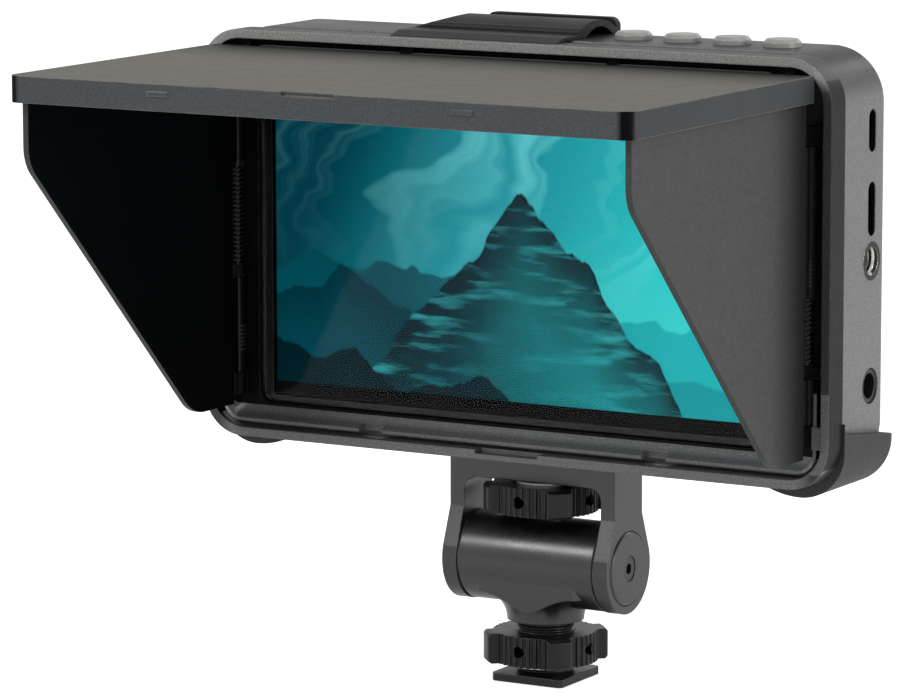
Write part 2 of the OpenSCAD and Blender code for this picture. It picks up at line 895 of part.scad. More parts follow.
// the rim of the hood, with its flange, slots, notch and hinge lugs
slot_x = 36.4;
slot_half = 3;
notch_half = 8;
spring_left = [lug_low_z + 25, lug_low_z + 48.8];
spring_right = [lug_low_z + 13, lug_low_z + 27.6];
module hood_frame() {
    win_w = glass_width + 1;
    win_h = glass_height + 1;
    low = mid_z - frame_height / 2;
    color("#3f3f3f")
        difference() {
            union() {
                translate([0, 0, mid_z])
                    along_y(front_y, face_y)
                        difference() {
                            round_rect(frame_width, frame_height, frame_corner);
                            round_rect(2 * rim_half_x, 2 * rim_half_z, frame_corner - rim);
                        }
                translate([0, 0, mid_z])
                    along_y(face_y - flange_thick, face_y)
                        difference() {
                            round_rect(frame_width - rim, frame_height - rim, frame_corner - rim / 2);
                            round_rect(win_w, win_h, 3);
                        }
                side_lugs(-1, left_axis_y, spring_left[0]);
                side_lugs(1, right_axis_y, spring_right[0]);
                lid_lugs();
                ledge();
                sill();
            }
            block([-flap_x - flap_barrel - free_gap, face_y - flange_thick - cut, lug_low_z],
                [-flap_x + flap_barrel + free_gap, face_y + cut, lug_top_z]);
            for (s = [-1, 1]) {
                block([s * slot_x - slot_half, ledge_y - 0.2, low - cut],
                    [s * slot_x + slot_half, ledge_y + 2.7, ledge_z + 1.8]);
                rod_z(lug_low_z - 3, lug_top_z + 3, s * flap_x, s < 0 ? left_axis_y : right_axis_y,
                    pin_radius + seat_gap);
            }
            block([-notch_half, front_y - cut, low + rim - 0.9], [notch_half, front_y + 3, low + rim + cut]);
            rod_x(-top_pin_half - 0.2, top_pin_half + 0.2, lid_axis_y, lid_axis_z, pin_radius + seat_gap);
        }
}

// the thin wall that stands inside the rim, round the bottom and the lower sides
module ledge() {
    half_z = mid_z - ledge_z;
    intersection() {
        translate([0, 0, mid_z])
            along_y(ledge_y, face_y - flange_thick / 2)
                difference() {
                    round_rect(2 * (ledge_x + ledge_thick), 2 * half_z, ledge_corner);
                    round_rect(2 * ledge_x, 2 * (half_z - ledge_thick), ledge_corner - ledge_thick);
                }
        block([-frame_width, ledge_y - cut, ledge_z - cut], [frame_width, face_y, ledge_top]);
    }
}

// the sloping sill from the ledge up to the glass
module sill() {
    top = flap_bottom_z - 0.4;
    back = face_y - flange_thick;
    intersection() {
        along_x(-ledge_x, ledge_x)
            polygon([[ledge_y, ledge_z], [ledge_y, ledge_z + ledge_thick], [back, top], [back + 0.4, top],
                [back + 0.4, ledge_z]]);
        translate([0, 0, mid_z])
            along_y(ledge_y - cut, face_y)
                round_rect(2 * ledge_x + 0.2, 2 * (mid_z - ledge_z) - 0.2, ledge_corner - 0.2);
    }
}

// three lugs that hold a side flap's pin
module side_lugs(side, y, spring_z) {
    for (z = [[lug_low_z - 5, lug_low_z], [spring_z - 2.4, spring_z], [lug_top_z, lug_top_z + 4]]) {
        rod_z(z[0], z[1], side * flap_x, y, flap_barrel);
        block([side > 0 ? flap_x : -rim_half_x - cut, y - flap_barrel, z[0]],
            [side > 0 ? rim_half_x + cut : -flap_x, face_y, z[1]]);
    }
}

// four lugs that hold the top flap's pin, which shows between the outer lugs and the barrel's ends
lid_end = lid_half - 11.7;
lid_break = 26.3;
pin_shown = 3.7;
end_lug = 2.2;
middle_lug = 3;
lug_gap = 0.3;
top_pin_half = lid_end + pin_shown + end_lug - 0.9;
module lid_lugs() {
    x1 = lid_end + pin_shown;
    x2 = lid_break - middle_lug / 2;
    for (s = [0, 1])
        mirror([s, 0, 0])
            for (x = [[x1, x1 + end_lug], [x2, x2 + middle_lug]]) {
                rod_x(x[0], x[1], lid_axis_y, lid_axis_z, lid_barrel);
                block([x[0], lid_axis_y, lid_axis_z - lid_barrel], [x[1], face_y, mid_z + rim_half_z + 0.5]);
            }
}

// the left cup, which grows out of the frame and wraps the case's lower corner round to its back
cup_round = 10.6;
cup_run = 20.5;
cup_back = 1.6;
cup_edge = 4.4;
cup_reach = 14.5;
module corner_cup() {
    fit = 2 * 0.05;
    side = case_width / 2 + cup_thick;
    low = case_bottom_z - cup_thick;
    back = rear_y + cup_back;
    x0 = cup_round - side;
    z0 = low + cup_round;
    color("#3f3f3f")
        difference() {
            intersection() {
                union() {
                    pad_y(x0, z0, cup_round, face_y, back, cup_edge);
                    intersection() {
                        pad_y(x0, low + cup_run, cup_run, face_y, back, cup_edge);
                        block([x0, face_y - cut, low - cut], [x0 + cup_run, back + cut, low + cup_run]);
                    }
                    translate([0, 0, z0])
                        linear_extrude(cup_reach)
                            difference() {
                                translate([-side, face_y])
                                    square([cup_round, back - face_y]);
                                corner_trim([-side, back], 270, 360, cup_edge);
                            }
                }
                rod_y(face_y, back, x0, z0, cup_reach);
                along_x(-frame_width, 0)
                    cup_profile(low, back);
            }
            soft_slab(case_width + fit, case_height + fit, case_corner + fit / 2,
                face_y - cut, rear_y + fit / 2, case_edge);
        }
}

// the cup seen from the side: a top edge that slopes to a rounded tip, with a fillet at the frame
cup_height = 14.8;
cup_slope = 7.5;
cup_tip = 3;
cup_fillet = 2.6;
module cup_profile(low, back) {
    tip_z = low + cup_height - (back - face_y) * tan(cup_slope);
    fillet_y = face_y + cup_fillet;
    fillet_z = low + cup_height - cup_fillet * tan(cup_slope) + cup_fillet / cos(cup_slope);
    end = [fillet_y - cup_fillet * sin(cup_slope), fillet_z - cup_fillet * cos(cup_slope)];
    difference() {
        polygon([[face_y - cut, low - cut], [back + cut, low - cut], [back + cut, tip_z - cup_tip],
            [back, tip_z - cup_tip], [back, tip_z], [face_y, low + cup_height],
            [face_y - cut, low + cup_height]]);
        corner_trim([back, tip_z], 180 - cup_slope, 270, cup_tip);
    }
    difference() {
        polygon([[face_y - cut, end[1] - cut], [end[0], end[1] - cut], end, [fillet_y, fillet_z],
            [face_y - cut, fillet_z]]);
        translate([fillet_y, fillet_z])
            circle(cup_fillet);
    }
}

// the sprung clip: a foot on the frame, an arched leaf over the case and a strap down its back
clip_right = button_start - button_radius - 5.45;
clip_left = clip_right - clip_width;
clip_flank = 9;
clip_rise = 3.7;
clip_foot = 0.9;
strap_thick = 2;
strap_round = 2;
strap_drop = 4;
module top_clip() {
    top = case_top_z + seat_gap;
    right = clip_right - 1;
    left = clip_left - 1;
    high = top + clip_rise - 0.4;
    color("#3f3f3f") {
        intersection() {
            along_x(clip_left - clip_flank, clip_right)
                clip_band(top);
            along_y(front_y, rear_y + strap_thick)
                polygon([[clip_left - clip_flank, top - 1], [clip_left - clip_flank, top + clip_foot],
                    [clip_left, top + clip_rise], [clip_left, top + clip_rise + cut],
                    [clip_right + cut, top + clip_rise + cut], [clip_right + cut, top - 1]]);
        }
        along_y(rear_y + seat_gap, rear_y + strap_thick)
            difference() {
                translate([left, top - strap_drop])
                    square([right - left, high + strap_drop - top]);
                corner_trim([right, high], 180, 270, strap_round);
                corner_trim([left, high], 270, 360, strap_round);
            }
    }
}

// the clip's leaf and foot seen from the side
leaf_y = 3;
leaf_radius = 18.2;
hollow_radius = 10.3;
hollow_high = 2.1;
nose_y = -4.2;
nose_radius = 1.15;
module clip_band(top) {
    flat = mid_z + frame_height / 2;
    difference() {
        union() {
            intersection() {
                translate([leaf_y, top + clip_rise - leaf_radius])
                    circle(leaf_radius);
                translate([nose_y, top])
                    square([rear_y + strap_thick - nose_y, clip_rise + cut]);
            }
            translate([nose_y, top + nose_radius])
                circle(nose_radius);
            polygon([[front_y + 2, flat], [front_y + 6, top + clip_foot], [nose_y + 1, top + clip_foot],
                [nose_y + 1, top], [face_y, top], [face_y, flat]]);
        }
        translate([leaf_y + 0.9, top + hollow_high - hollow_radius])
            circle(hollow_radius);
    }
}

// a side flap's outline in depth and height, with rounded lower corners
flap_round = 9;
flap_low_round = 11;
module flap_outline(rear) {
    front_z = flap_top_z - flap_front_height;
    cut_y = flap_front_y + (front_z - flap_bottom_z) * tan(flap_slant);
    difference() {
        translate([flap_front_y, flap_bottom_z])
            square([rear - flap_front_y, flap_top_z - flap_bottom_z]);
        polygon([
            [flap_front_y - cut, front_z], [flap_front_y, front_z], [cut_y, flap_bottom_z],
            [cut_y, flap_bottom_z - cut], [flap_front_y - cut, flap_bottom_z - cut]
        ]);
        corner_trim([flap_front_y, front_z], flap_slant - 90, 90, flap_round);
        corner_trim([cut_y, flap_bottom_z], 0, 90 + flap_slant, flap_low_round);
    }
}

// what rounds a corner at p, between edges that leave it at the angles a and b, takes away
module corner_trim(p, a, b, r) {
    half = (b - a) / 2;
    reach = r / tan(half);
    middle = [cos(a + half), sin(a + half)];
    centre = p + r / sin(half) * middle;
    near_a = p + reach * [cos(a), sin(a)];
    near_b = p + reach * [cos(b), sin(b)];
    difference() {
        polygon([near_a, near_a + cut * [cos(a - 90), sin(a - 90)], p - 2 * cut * middle,
            near_b + cut * [cos(b + 90), sin(b + 90)], near_b, centre]);
        translate(centre)
            circle(r);
    }
}

// a side flap with its barrels, on the side given by the sign
module side_flap(side, y, barrels) {
    x = side * flap_x;
    color("#363636")
        difference() {
            union() {
                along_x(x - flap_thick / 2, x + flap_thick / 2)
                    flap_outline(y - flap_sweep);
                for (b = barrels) {
                    rod_z(b[0], b[1], x, y, flap_barrel);
                    block([x - flap_thick / 2, y - flap_sweep - 1, b[0]], [x + flap_thick / 2, y, b[1]]);
                }
            }
            rod_z(lug_low_z - 3, lug_top_z + 3, x, y, pin_radius + run_gap);
        }
}

module left_flap() {
    side_flap(-1, left_axis_y, [
        [lug_low_z + free_gap, spring_left[0] - 2.4 - free_gap],
        [spring_left[1] + free_gap, lug_top_z - free_gap]
    ]);
}

module right_flap() {
    side_flap(1, right_axis_y, [
        [lug_low_z + free_gap, spring_right[0] - 2.4 - free_gap],
        [spring_right[1] + free_gap, lug_top_z - free_gap]
    ]);
}

// the top flap: a shallow tray open downwards, with a barrel at its rear
lid_back = 0.7;
lid_corner = 3.5;
grip_half = 6.5;
bump_x = 37;
bump_half = 2.5;
module top_flap() {
    low = lid_top_z - lip_height;
    back = front_y - lid_back;
    gap = middle_lug / 2 + lug_gap;
    color("#5b5a55")
        difference() {
            union() {
                difference() {
                    lid_slab(lid_half, lid_front_y, low, lid_corner);
                    lid_slab(lid_half - lid_thick, lid_front_y + lid_thick, low - cut, lid_corner - lid_thick);
                }
                for (x = [[-lid_end, -lid_break - gap], [gap - lid_break, lid_break - gap],
                    [lid_break + gap, lid_end]]) {
                    rod_x(x[0], x[1], lid_axis_y, lid_axis_z, lid_barrel);
                    block([x[0], back - cut, lid_top_z - lid_thick], [x[1], lid_axis_y, lid_top_z]);
                }
            }
            rod_x(-lid_end - cut, lid_end + cut, lid_axis_y, lid_axis_z, pin_radius + run_gap);
            block([-grip_half, lid_front_y - cut, lid_top_z - 0.9], [grip_half, lid_front_y + 1, lid_top_z + cut]);
        }
    color("#5b5a55")
        for (s = [-1, 1])
            translate([s * bump_x - bump_half, lid_front_y - 0.4, lid_top_z - 2.6])
                cube([2 * bump_half, 0.4, 1]);
}

// a slab under the top flap's upper face with rounded front corners
module lid_slab(half, y, low, r) {
    back = front_y - lid_back;
    high = low > lid_top_z - lip_height - cut / 2 ? lid_top_z : lid_top_z - lid_thick;
    translate([0, 0, low])
        linear_extrude(high - low)
            union() {
                translate([-half, y + r])
                    square([2 * half, back - y - r + (high < lid_top_z ? cut : 0)]);
                translate([r - half, y])
                    square([2 * (half - r), r + 0.1]);
                for (s = [-1, 1])
                    translate([s * (half - r), y + r])
                        circle(r);
            }
}

module left_pin() {
    color("#a5a5a5")
        rod_z(lug_low_z - 3 + seat_gap, lug_top_z + 3 - seat_gap, -flap_x, left_axis_y, pin_radius);
}

module right_pin() {
    color("#a5a5a5")
        rod_z(lug_low_z - 3 + seat_gap, lug_top_z + 3 - seat_gap, flap_x, right_axis_y, pin_radius);
}

module top_pin() {
    color("#a5a5a5")
        rod_x(-top_pin_half, top_pin_half, lid_axis_y, lid_axis_z, pin_radius);
}

// a wound spring: one unbroken round wire, six sides, eight rings to a turn
coil_radius = flap_barrel - 0.05 - wire_radius;
function coil_turns(z) = floor((z[1] - z[0] - 2 * wire_radius - 0.3) / spring_pitch);
function coil_point(t) = [
    coil_radius * cos(t), coil_radius * sin(t), spring_pitch * t / 360
];
function coil_run(t) = [
    -coil_radius * sin(t), coil_radius * cos(t), spring_pitch / (2 * PI)
];
function unit(v) = v / norm(v);
function wire_ring(c, t) = [
    for (s = [0 : 60 : 300])
        c + wire_radius * (cos(s) * [cos(t), sin(t), 0]
            + sin(s) * unit(cross(unit(coil_run(t)), [cos(t), sin(t), 0])))
];
module hinge_spring(x, y, z) {
    n = coil_turns(z) * 8;
    leg = 4 * wire_radius;
    last = n * 45;
    centres = concat(
        [coil_point(0) - leg * unit(coil_run(0))],
        [for (i = [0 : n]) coil_point(i * 45)],
        [coil_point(last) + leg * unit(coil_run(last))]
    );
    turns = concat([0], [for (i = [0 : n]) i * 45], [last]);
    rings = len(centres);
    points = [for (i = [0 : rings - 1]) each wire_ring(centres[i], turns[i])];
    faces = concat(
        [[for (k = [0 : 5]) 5 - k]],
        [for (i = [0 : rings - 2]) for (k = [0 : 5])
            [i * 6 + k, i * 6 + (k + 1) % 6, i * 6 + 6 + (k + 1) % 6]],
        [for (i = [0 : rings - 2]) for (k = [0 : 5])
            [i * 6 + k, i * 6 + 6 + (k + 1) % 6, i * 6 + 6 + k]],
        [[for (k = [0 : 5]) (rings - 1) * 6 + k]]
    );
    far = [for (i = [0 : rings - 1]) for (j = [i + 6 : min(i + 12, rings - 1)])
        norm(centres[i] - centres[j]) - 2 * wire_radius];
    echo(least_gap_in_spring = min(far));
    color("#8f8f8f")
        translate([x, y, z[0] + wire_radius + 0.15])
            polyhedron(points, faces);
}

module left_spring() {
    hinge_spring(-flap_x, left_axis_y, spring_left);
}

module right_spring() {
    hinge_spring(flap_x, right_axis_y, spring_right);
}

shoe_foot();
foot_screw();
threaded_stud();
lock_washer();
lock_wheel();
tilt_barrel();
yoke();
tilt_axle();
tilt_washers();
ear_caps();
axle_screws();
rubber_pad();
thumb_washer();
thumb_wheel();
camera_screw();
rear_case();
front_bezel();
cover_glass();
lcd_panel();
backlight_tray();
display_cable();
main_board();
board_parts();
usb_port();
hdmi_port();
side_insert();
dc_jack();
bottom_insert();
top_button(0);  // top_button_1
top_button(1);  // top_button_2
top_button(2);  // top_button_3
top_button(3);  // top_button_4
button_board();
button_switches();
battery_plate();
battery_contacts();
battery_latch();
case_screws();
hood_frame();
corner_cup();  // left_cup
mirror([1, 0, 0]) corner_cup();  // right_cup
top_clip();
left_flap();
right_flap();
top_flap();
left_pin();
right_pin();
top_pin();
left_spring();
right_spring();
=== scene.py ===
import math

import bmesh
import bpy
from mathutils import Matrix, Vector


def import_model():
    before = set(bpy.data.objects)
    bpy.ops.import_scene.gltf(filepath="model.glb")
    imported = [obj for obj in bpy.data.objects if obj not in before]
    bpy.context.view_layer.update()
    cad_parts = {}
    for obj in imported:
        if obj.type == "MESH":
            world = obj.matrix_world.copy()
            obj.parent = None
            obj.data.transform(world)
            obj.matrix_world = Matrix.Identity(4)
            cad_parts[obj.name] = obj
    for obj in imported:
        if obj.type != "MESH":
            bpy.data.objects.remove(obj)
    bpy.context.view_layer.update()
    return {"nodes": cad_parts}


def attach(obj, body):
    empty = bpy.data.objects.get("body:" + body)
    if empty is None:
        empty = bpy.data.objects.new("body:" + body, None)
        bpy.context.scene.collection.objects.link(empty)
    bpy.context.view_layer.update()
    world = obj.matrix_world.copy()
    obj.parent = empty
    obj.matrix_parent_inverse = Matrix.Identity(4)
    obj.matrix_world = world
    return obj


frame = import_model()
nodes = frame["nodes"]
MM = 0.001
MID_Z = 99.7  # height of the screen's centre, in millimetres
SPECKLE_SIZE = 0.42 * MM

# ---------------------------------------------------------------- camera
# Fitted to points read from the photograph: lengths in millimetres, image measures in pixels.
AZ, EL, ROLL = math.radians(30.0), math.radians(8.75), math.radians(-0.08)
FOCAL_PX, CX, CY, W, H = 5013.91, 460.69, 340.41, 909, 699
TARGET = Vector((-0.3, -18.5, 99.7))
DIST, TX, TZ = 1114.82, -9.8, -19.29
SENSOR_WIDTH = 36

back = Vector((math.sin(AZ) * math.cos(EL), -math.cos(AZ) * math.cos(EL), math.sin(EL)))
right = Vector((math.cos(AZ), math.sin(AZ), 0))
up = back.cross(right)
img_x = right * math.cos(ROLL) + up * math.sin(ROLL)
img_y = -right * math.sin(ROLL) + up * math.cos(ROLL)
eye = (TARGET + back * DIST + right * TX + up * TZ) * MM
cam_data = bpy.data.cameras.new("camera")
cam_data.sensor_fit = "HORIZONTAL"
cam_data.sensor_width = SENSOR_WIDTH
cam_data.lens = FOCAL_PX * SENSOR_WIDTH / W
cam_data.shift_x = -(CX - W / 2) / W
cam_data.shift_y = (CY - H / 2) / W
cam_data.clip_start = 0.05
cam_data.clip_end = 50
camera = bpy.data.objects.new("camera", cam_data)
bpy.context.scene.collection.objects.link(camera)
camera.matrix_world = Matrix((
    (img_x.x, img_y.x, back.x, eye.x),
    (img_x.y, img_y.y, back.y, eye.y),
    (img_x.z, img_y.z, back.z, eye.z),
    (0, 0, 0, 1),
))
bpy.context.scene.camera = camera
bpy.context.scene.view_settings.view_transform = "Standard"


# ---------------------------------------------------------------- node helpers
class Tree:
    """Short calls for building a material's nodes."""

    def __init__(self, name):
        self.mat = bpy.data.materials.new(name)
        self.mat.use_nodes = True
        self.nt = self.mat.node_tree
        self.nt.nodes.clear()
        self.out = self.add("ShaderNodeOutputMaterial")
        self.bsdf = self.add("ShaderNodeBsdfPrincipled")
        self.link(self.bsdf.outputs[0], self.out.inputs[0])
        self.coord = self.add("ShaderNodeTexCoord")

    def add(self, kind, **props):
        n = self.nt.nodes.new(kind)
        for k, v in props.items():
            setattr(n, k, v)
        return n

    def link(self, a, b):
        self.nt.links.new(a, b)

    def set(self, socket, value):
        """Links a socket to another one, or sets it to a constant."""
        if isinstance(value, bpy.types.NodeSocket):
            self.link(value, socket)
        else:
            socket.default_value = value

    def noise(self, scale, detail=2.0, rough=0.5, vector=None):
        """Soft noise from 0 to 1. The scale is per metre, unless another vector is given."""
        n = self.add("ShaderNodeTexNoise", noise_dimensions="3D")
        n.inputs["Scale"].default_value = scale
        n.inputs["Detail"].default_value = detail
        n.inputs["Roughness"].default_value = rough
        self.link(vector or self.coord.outputs["Object"], n.inputs["Vector"])
        return n.outputs["Fac"]

    def math(self, op, a, b=None, c=None, clamp=False):
        n = self.add("ShaderNodeMath", operation=op, use_clamp=clamp)
        for i, v in enumerate((a, b, c)):
            if v is not None:
                self.set(n.inputs[i], v)
        return n.outputs[0]

    def ramp(self, value, low, high, to_low=0.0, to_high=1.0, smooth=False):
        """Maps low..high to to_low..to_high and stays level beyond them."""
        n = self.add("ShaderNodeMapRange", clamp=True,
                     interpolation_type="SMOOTHSTEP" if smooth else "LINEAR")
        self.set(n.inputs["Value"], value)
        for k, v in (("From Min", low), ("From Max", high), ("To Min", to_low), ("To Max", to_high)):
            n.inputs[k].default_value = v
        return n.outputs["Result"]

    def mix(self, fac, a, b, blend="MIX"):
        """Mixes two colours. Sockets 6 and 7 of the node are its colour inputs, output 2 the result."""
        n = self.add("ShaderNodeMix", data_type="RGBA", blend_type=blend)
        self.set(n.inputs[0], fac)
        for i, v in ((6, a), (7, b)):
            self.set(n.inputs[i], (*v, 1) if isinstance(v, tuple) and len(v) == 3 else v)
        return n.outputs[2]

    def xyz(self, vector):
        n = self.add("ShaderNodeSeparateXYZ")
        self.link(vector, n.inputs[0])
        return n.outputs

    def edge(self, radius):
        """(rounded normal, mask from 0 to 1 of the edges) at a real radius in metres."""
        bev = self.add("ShaderNodeBevel", samples=6)
        bev.inputs["Radius"].default_value = radius
        geo = self.add("ShaderNodeNewGeometry")
        dot = self.add("ShaderNodeVectorMath", operation="DOT_PRODUCT")
        self.link(bev.outputs[0], dot.inputs[0])
        self.link(geo.outputs["Normal"], dot.inputs[1])
        return bev.outputs[0], self.ramp(dot.outputs["Value"], 0.98, 0.8)

    def blend_value(self, fac, a, b):
        n = self.add("ShaderNodeMix", data_type="FLOAT")
        self.set(n.inputs[0], fac)
        self.set(n.inputs[2], a)
        self.set(n.inputs[3], b)
        return n.outputs[0]

    def within(self, low, high, soft=0.1):
        """1 inside a box given in millimetres in the part's frame, with an edge soft mm wide."""
        p = self.xyz(self.coord.outputs["Object"])
        area = 1.0
        for axis, (a, b) in enumerate(zip(low, high)):
            if a is not None:
                area = self.math("MULTIPLY", area, self.ramp(p[axis], (a - soft) * MM, a * MM))
            if b is not None:
                area = self.math("MULTIPLY", area, self.ramp(p[axis], b * MM, (b + soft) * MM, 1.0, 0.0))
        return area

    def within_opening(self, half_x, half_z, radius, front):
        """1 inside a rounded opening about the screen's centre, behind front, all in millimetres."""
        p = self.xyz(self.coord.outputs["Object"])
        gaps = []
        for value, middle, half in ((p[0], 0.0, half_x), (p[2], MID_Z, half_z)):
            off = self.math("ABSOLUTE", self.math("SUBTRACT", value, middle * MM))
            gaps.append(self.math("MAXIMUM", self.math("SUBTRACT", off, (half - radius) * MM), 0.0))
        away = self.math("SQRT", self.math("ADD", self.math("MULTIPLY", gaps[0], gaps[0]),
                                           self.math("MULTIPLY", gaps[1], gaps[1])))
        inside = self.ramp(away, radius * MM, (radius + 0.1) * MM, 1.0, 0.0)
        return self.math("MULTIPLY", inside, self.ramp(p[1], (front - 0.1) * MM, front * MM))

    def facing(self, direction, low=0.45, high=0.75):
        """Rises from 0 to 1 as a surface turns towards a direction in the part's frame."""
        dot = self.add("ShaderNodeVectorMath", operation="DOT_PRODUCT")
        self.link(self.coord.outputs["Normal"], dot.inputs[0])
        dot.inputs[1].default_value = direction
        return self.ramp(dot.outputs["Value"], low, high)

    def bump(self, height, strength, distance, normal):
        n = self.add("ShaderNodeBump")
        n.inputs["Strength"].default_value = strength
        n.inputs["Distance"].default_value = distance
        self.link(height, n.inputs["Height"])
        self.link(normal, n.inputs["Normal"])
        return n.outputs[0]


def grey(level):
    return (level, level, level)


CLOUD_SCALE, RUB_SCALE, CLOUD_SPREAD = 45, 260, 0.05


def moulded(name, color, rough=0.5, grain=0.35, grain_size=0.35, edge_wear_and_highlight=0.25, edge_wear_and_highlight_color=None,
            edge=0.35, metallic=0.0, specular=0.5, speckle=0.24, patches=()):
    """Moulded or coated surface: fine grain, speckled and cloudy tone, softened and polished edges,
    lightened both by rubbing and by painted highlight. grain_size and edge are in millimetres. patches
    are (mask, colour, specular level) of areas of another tone or finish, most of them painted light and
    painted shade; mask(tree) gives 0 to 1."""
    t = Tree(name)
    normal, mask = t.edge(edge * MM)
    fine = t.noise(1 / (grain_size * MM), 3, 0.6)
    coarse = t.noise(1 / SPECKLE_SIZE, 2, 0.6)
    cloud = t.noise(CLOUD_SCALE, 3, 0.55)
    rub = t.noise(RUB_SCALE, 4, 0.65)
    dark = tuple(c * (1 - CLOUD_SPREAD) for c in color)
    light = tuple(min(1, c * (1 + CLOUD_SPREAD)) for c in color)
    base = t.mix(t.ramp(cloud, 0.35, 0.65), dark, light)
    base = t.mix(t.math("MULTIPLY", t.ramp(fine, 0.3, 0.7), 0.3), base, tuple(c * 1.4 for c in color))
    # Edges lighten towards this colour: rubbing, and painted highlight along rounded edges.
    worn_and_highlit = edge_wear_and_highlight_color or tuple(min(1, c * 1.9 + 0.02) for c in color)
    wear_and_highlight_mask = t.math("MULTIPLY", t.math("MULTIPLY", mask, t.ramp(rub, 0.35, 0.7)), edge_wear_and_highlight)
    rough_out = t.math("ADD", t.ramp(cloud, 0.3, 0.7, rough - 0.04, rough + 0.04),
                       t.ramp(rub, 0.3, 0.7, -0.02, 0.03))
    rough_out = t.math("SUBTRACT", rough_out, t.math("MULTIPLY", wear_and_highlight_mask, 0.12))
    shine = specular
    for mask_of, patch_color, patch_shine in patches:
        area = mask_of(t)
        speck = t.mix(t.ramp(fine, 0.35, 0.7), patch_color, tuple(c * 1.5 for c in patch_color))
        base = t.mix(area, base, speck)
        wear_and_highlight_mask = t.math("MULTIPLY", wear_and_highlight_mask, t.ramp(area, 0.0, 1.0, 1.0, 0.25))
        shine = t.blend_value(area, shine, patch_shine)
    base = t.mix(1.0, base, t.ramp(coarse, 0.36, 0.64, 1 - speckle, 1 + speckle), "MULTIPLY")
    base = t.mix(wear_and_highlight_mask, base, worn_and_highlit)
    t.link(base, t.bsdf.inputs["Base Color"])
    t.link(rough_out, t.bsdf.inputs["Roughness"])
    t.bsdf.inputs["Metallic"].default_value = metallic
    t.set(t.bsdf.inputs["Specular IOR Level"], shine)
    t.link(t.bump(fine, grain, 0.03 * MM, normal), t.bsdf.inputs["Normal"])
    return t.mat


def metal(name, color, rough=0.3, stretch=(1, 1, 12), scale=900, edge_wear_and_highlight=0.3, dark=None, tone=0.05):
    """Turned or brushed metal, with fine lines that crowd along the axes where stretch is large.
    dark(tree) masks an area that takes a grey tone instead, such as painted shade in a bore's depth."""
    t = Tree(name)
    normal, mask = t.edge(0.15 * MM)
    mapping = t.add("ShaderNodeMapping")
    t.link(t.coord.outputs["Object"], mapping.inputs[0])
    mapping.inputs["Scale"].default_value = stretch
    lines = t.noise(scale, 4, 0.6, mapping.outputs[0])
    cloud = t.noise(120, 2)
    groove = tuple(c * 0.82 for c in color)
    crest = tuple(min(1, c * 1.1) for c in color)
    base = t.mix(t.ramp(lines, 0.3, 0.7), groove, crest)
    base = t.mix(t.math("MULTIPLY", t.ramp(cloud, 0.45, 0.8), 0.25), base, tuple(c * 0.6 for c in color))
    base = t.mix(t.math("MULTIPLY", mask, edge_wear_and_highlight), base, tuple(min(1, c * 1.4 + 0.05) for c in color))
    if dark:
        base = t.mix(dark(t), base, grey(tone))
    t.link(base, t.bsdf.inputs["Base Color"])
    t.bsdf.inputs["Metallic"].default_value = 1.0
    t.link(t.ramp(lines, 0.2, 0.8, rough - 0.08, rough + 0.12), t.bsdf.inputs["Roughness"])
    t.link(t.bump(lines, 0.25, 0.02 * MM, normal), t.bsdf.inputs["Normal"])
    return t.mat


def assign(mat, *names):
    for n in names:
        data = nodes[n].data
        data.materials.clear()
        data.materials.append(mat)


# ---------------------------------------------------------------- materials of the CAD nodes
HOOD = grey(0.036)
# Black lining, darkened further as painted shade on the unlit insides.
BLACK_LINING_AND_SHADE = (0.0025, 0.0025, 0.0027)
LIGHT_METAL = (0.62, 0.61, 0.58)
TURNED_X = (12, 1, 1)
DRAWN_X = (1, 6, 6)

# The masks below pick out areas by their place on the part, in millimetres, and by the way they face.
# Most of them follow the photograph's light and shade rather than a change of material.
OPEN = (None, None, None)
CASE_SIDE = 77.7
RIM_HALF_X, RIM_HALF_Z, RIM_ROUND, RIM_FRONT = 77.93, 44.93, 7.95, -18.35
SILL = ((-76, -17, 55.5), (76, -12.9, 59.6))
LEDGE = ((75.2, None, 56.5), (None, -16.6, 74.2))
SLOTS = ((70, 2.5, 104), (CASE_SIDE, 9.5, 136))
LID_INSIDE = ((-74.45, -100.45, None), (74.45, -18.6, 141.7))


# Black lining inside the rim, with painted shade for the unlit inside of the hood.
def hood_inside_lining_and_shade(t):
    return t.within_opening(RIM_HALF_X, RIM_HALF_Z, RIM_ROUND, RIM_FRONT)


# Painted light: the rim's upper front, much lighter than the rest of the frame.
def hood_top_front_painted_light(t):
    upper = t.within((None, None, 142.5), (None, -18.3, None), 3.0)
    return t.math("MULTIPLY", upper, t.facing((0, -1, 0)))


def hood_sill_painted_light(t):
    """Painted light on the strip below the screen, inside the rim."""
    return t.within(*SILL)


def hood_bottom_painted_light(t):
    """Painted light on the lower front of the hood frame, fading out towards its corners."""
    low_front = t.within(OPEN, (None, -12.0, 57.5), 1.0)
    return t.math("MULTIPLY", low_front, t.within((-72, None, None), (72, None, None), 4.0))


def hood_ledge_painted_light(t):
    """Painted light on the ledge at the hood frame's lower right."""
    return t.within(*LEDGE)


def hood_flank_painted_shade(t):
    """Painted shade on the hood frame's right side."""
    return t.math("MULTIPLY", t.facing((1, 0, 0), 0.6, 0.9), t.within((78.5, None, None), OPEN))


def case_top_painted_shade(t):
    """Painted shade on the upward faces of the case."""
    return t.facing((0, 0, 1), 0.12, 0.6)


def inner_left(t):
    """The left flap's inner face."""
    return t.facing((1, 0, 0))


def inner_right(t):
    """The right flap's inner face."""
    return t.facing((-1, 0, 0))


def hinge_shade(t):
    """Rises over 14 mm towards the right flap's hinge."""
    return t.within((None, -21.0, None), OPEN, 14.0)


def slot_painted_shade(t):
    """Painted shade inside the two slots for signal sockets."""
    return t.within(*SLOTS)


def socket_painted_shade(t):
    """Painted shade on all that lies behind the case's right side."""
    return t.within(OPEN, (CASE_SIDE, None, None))


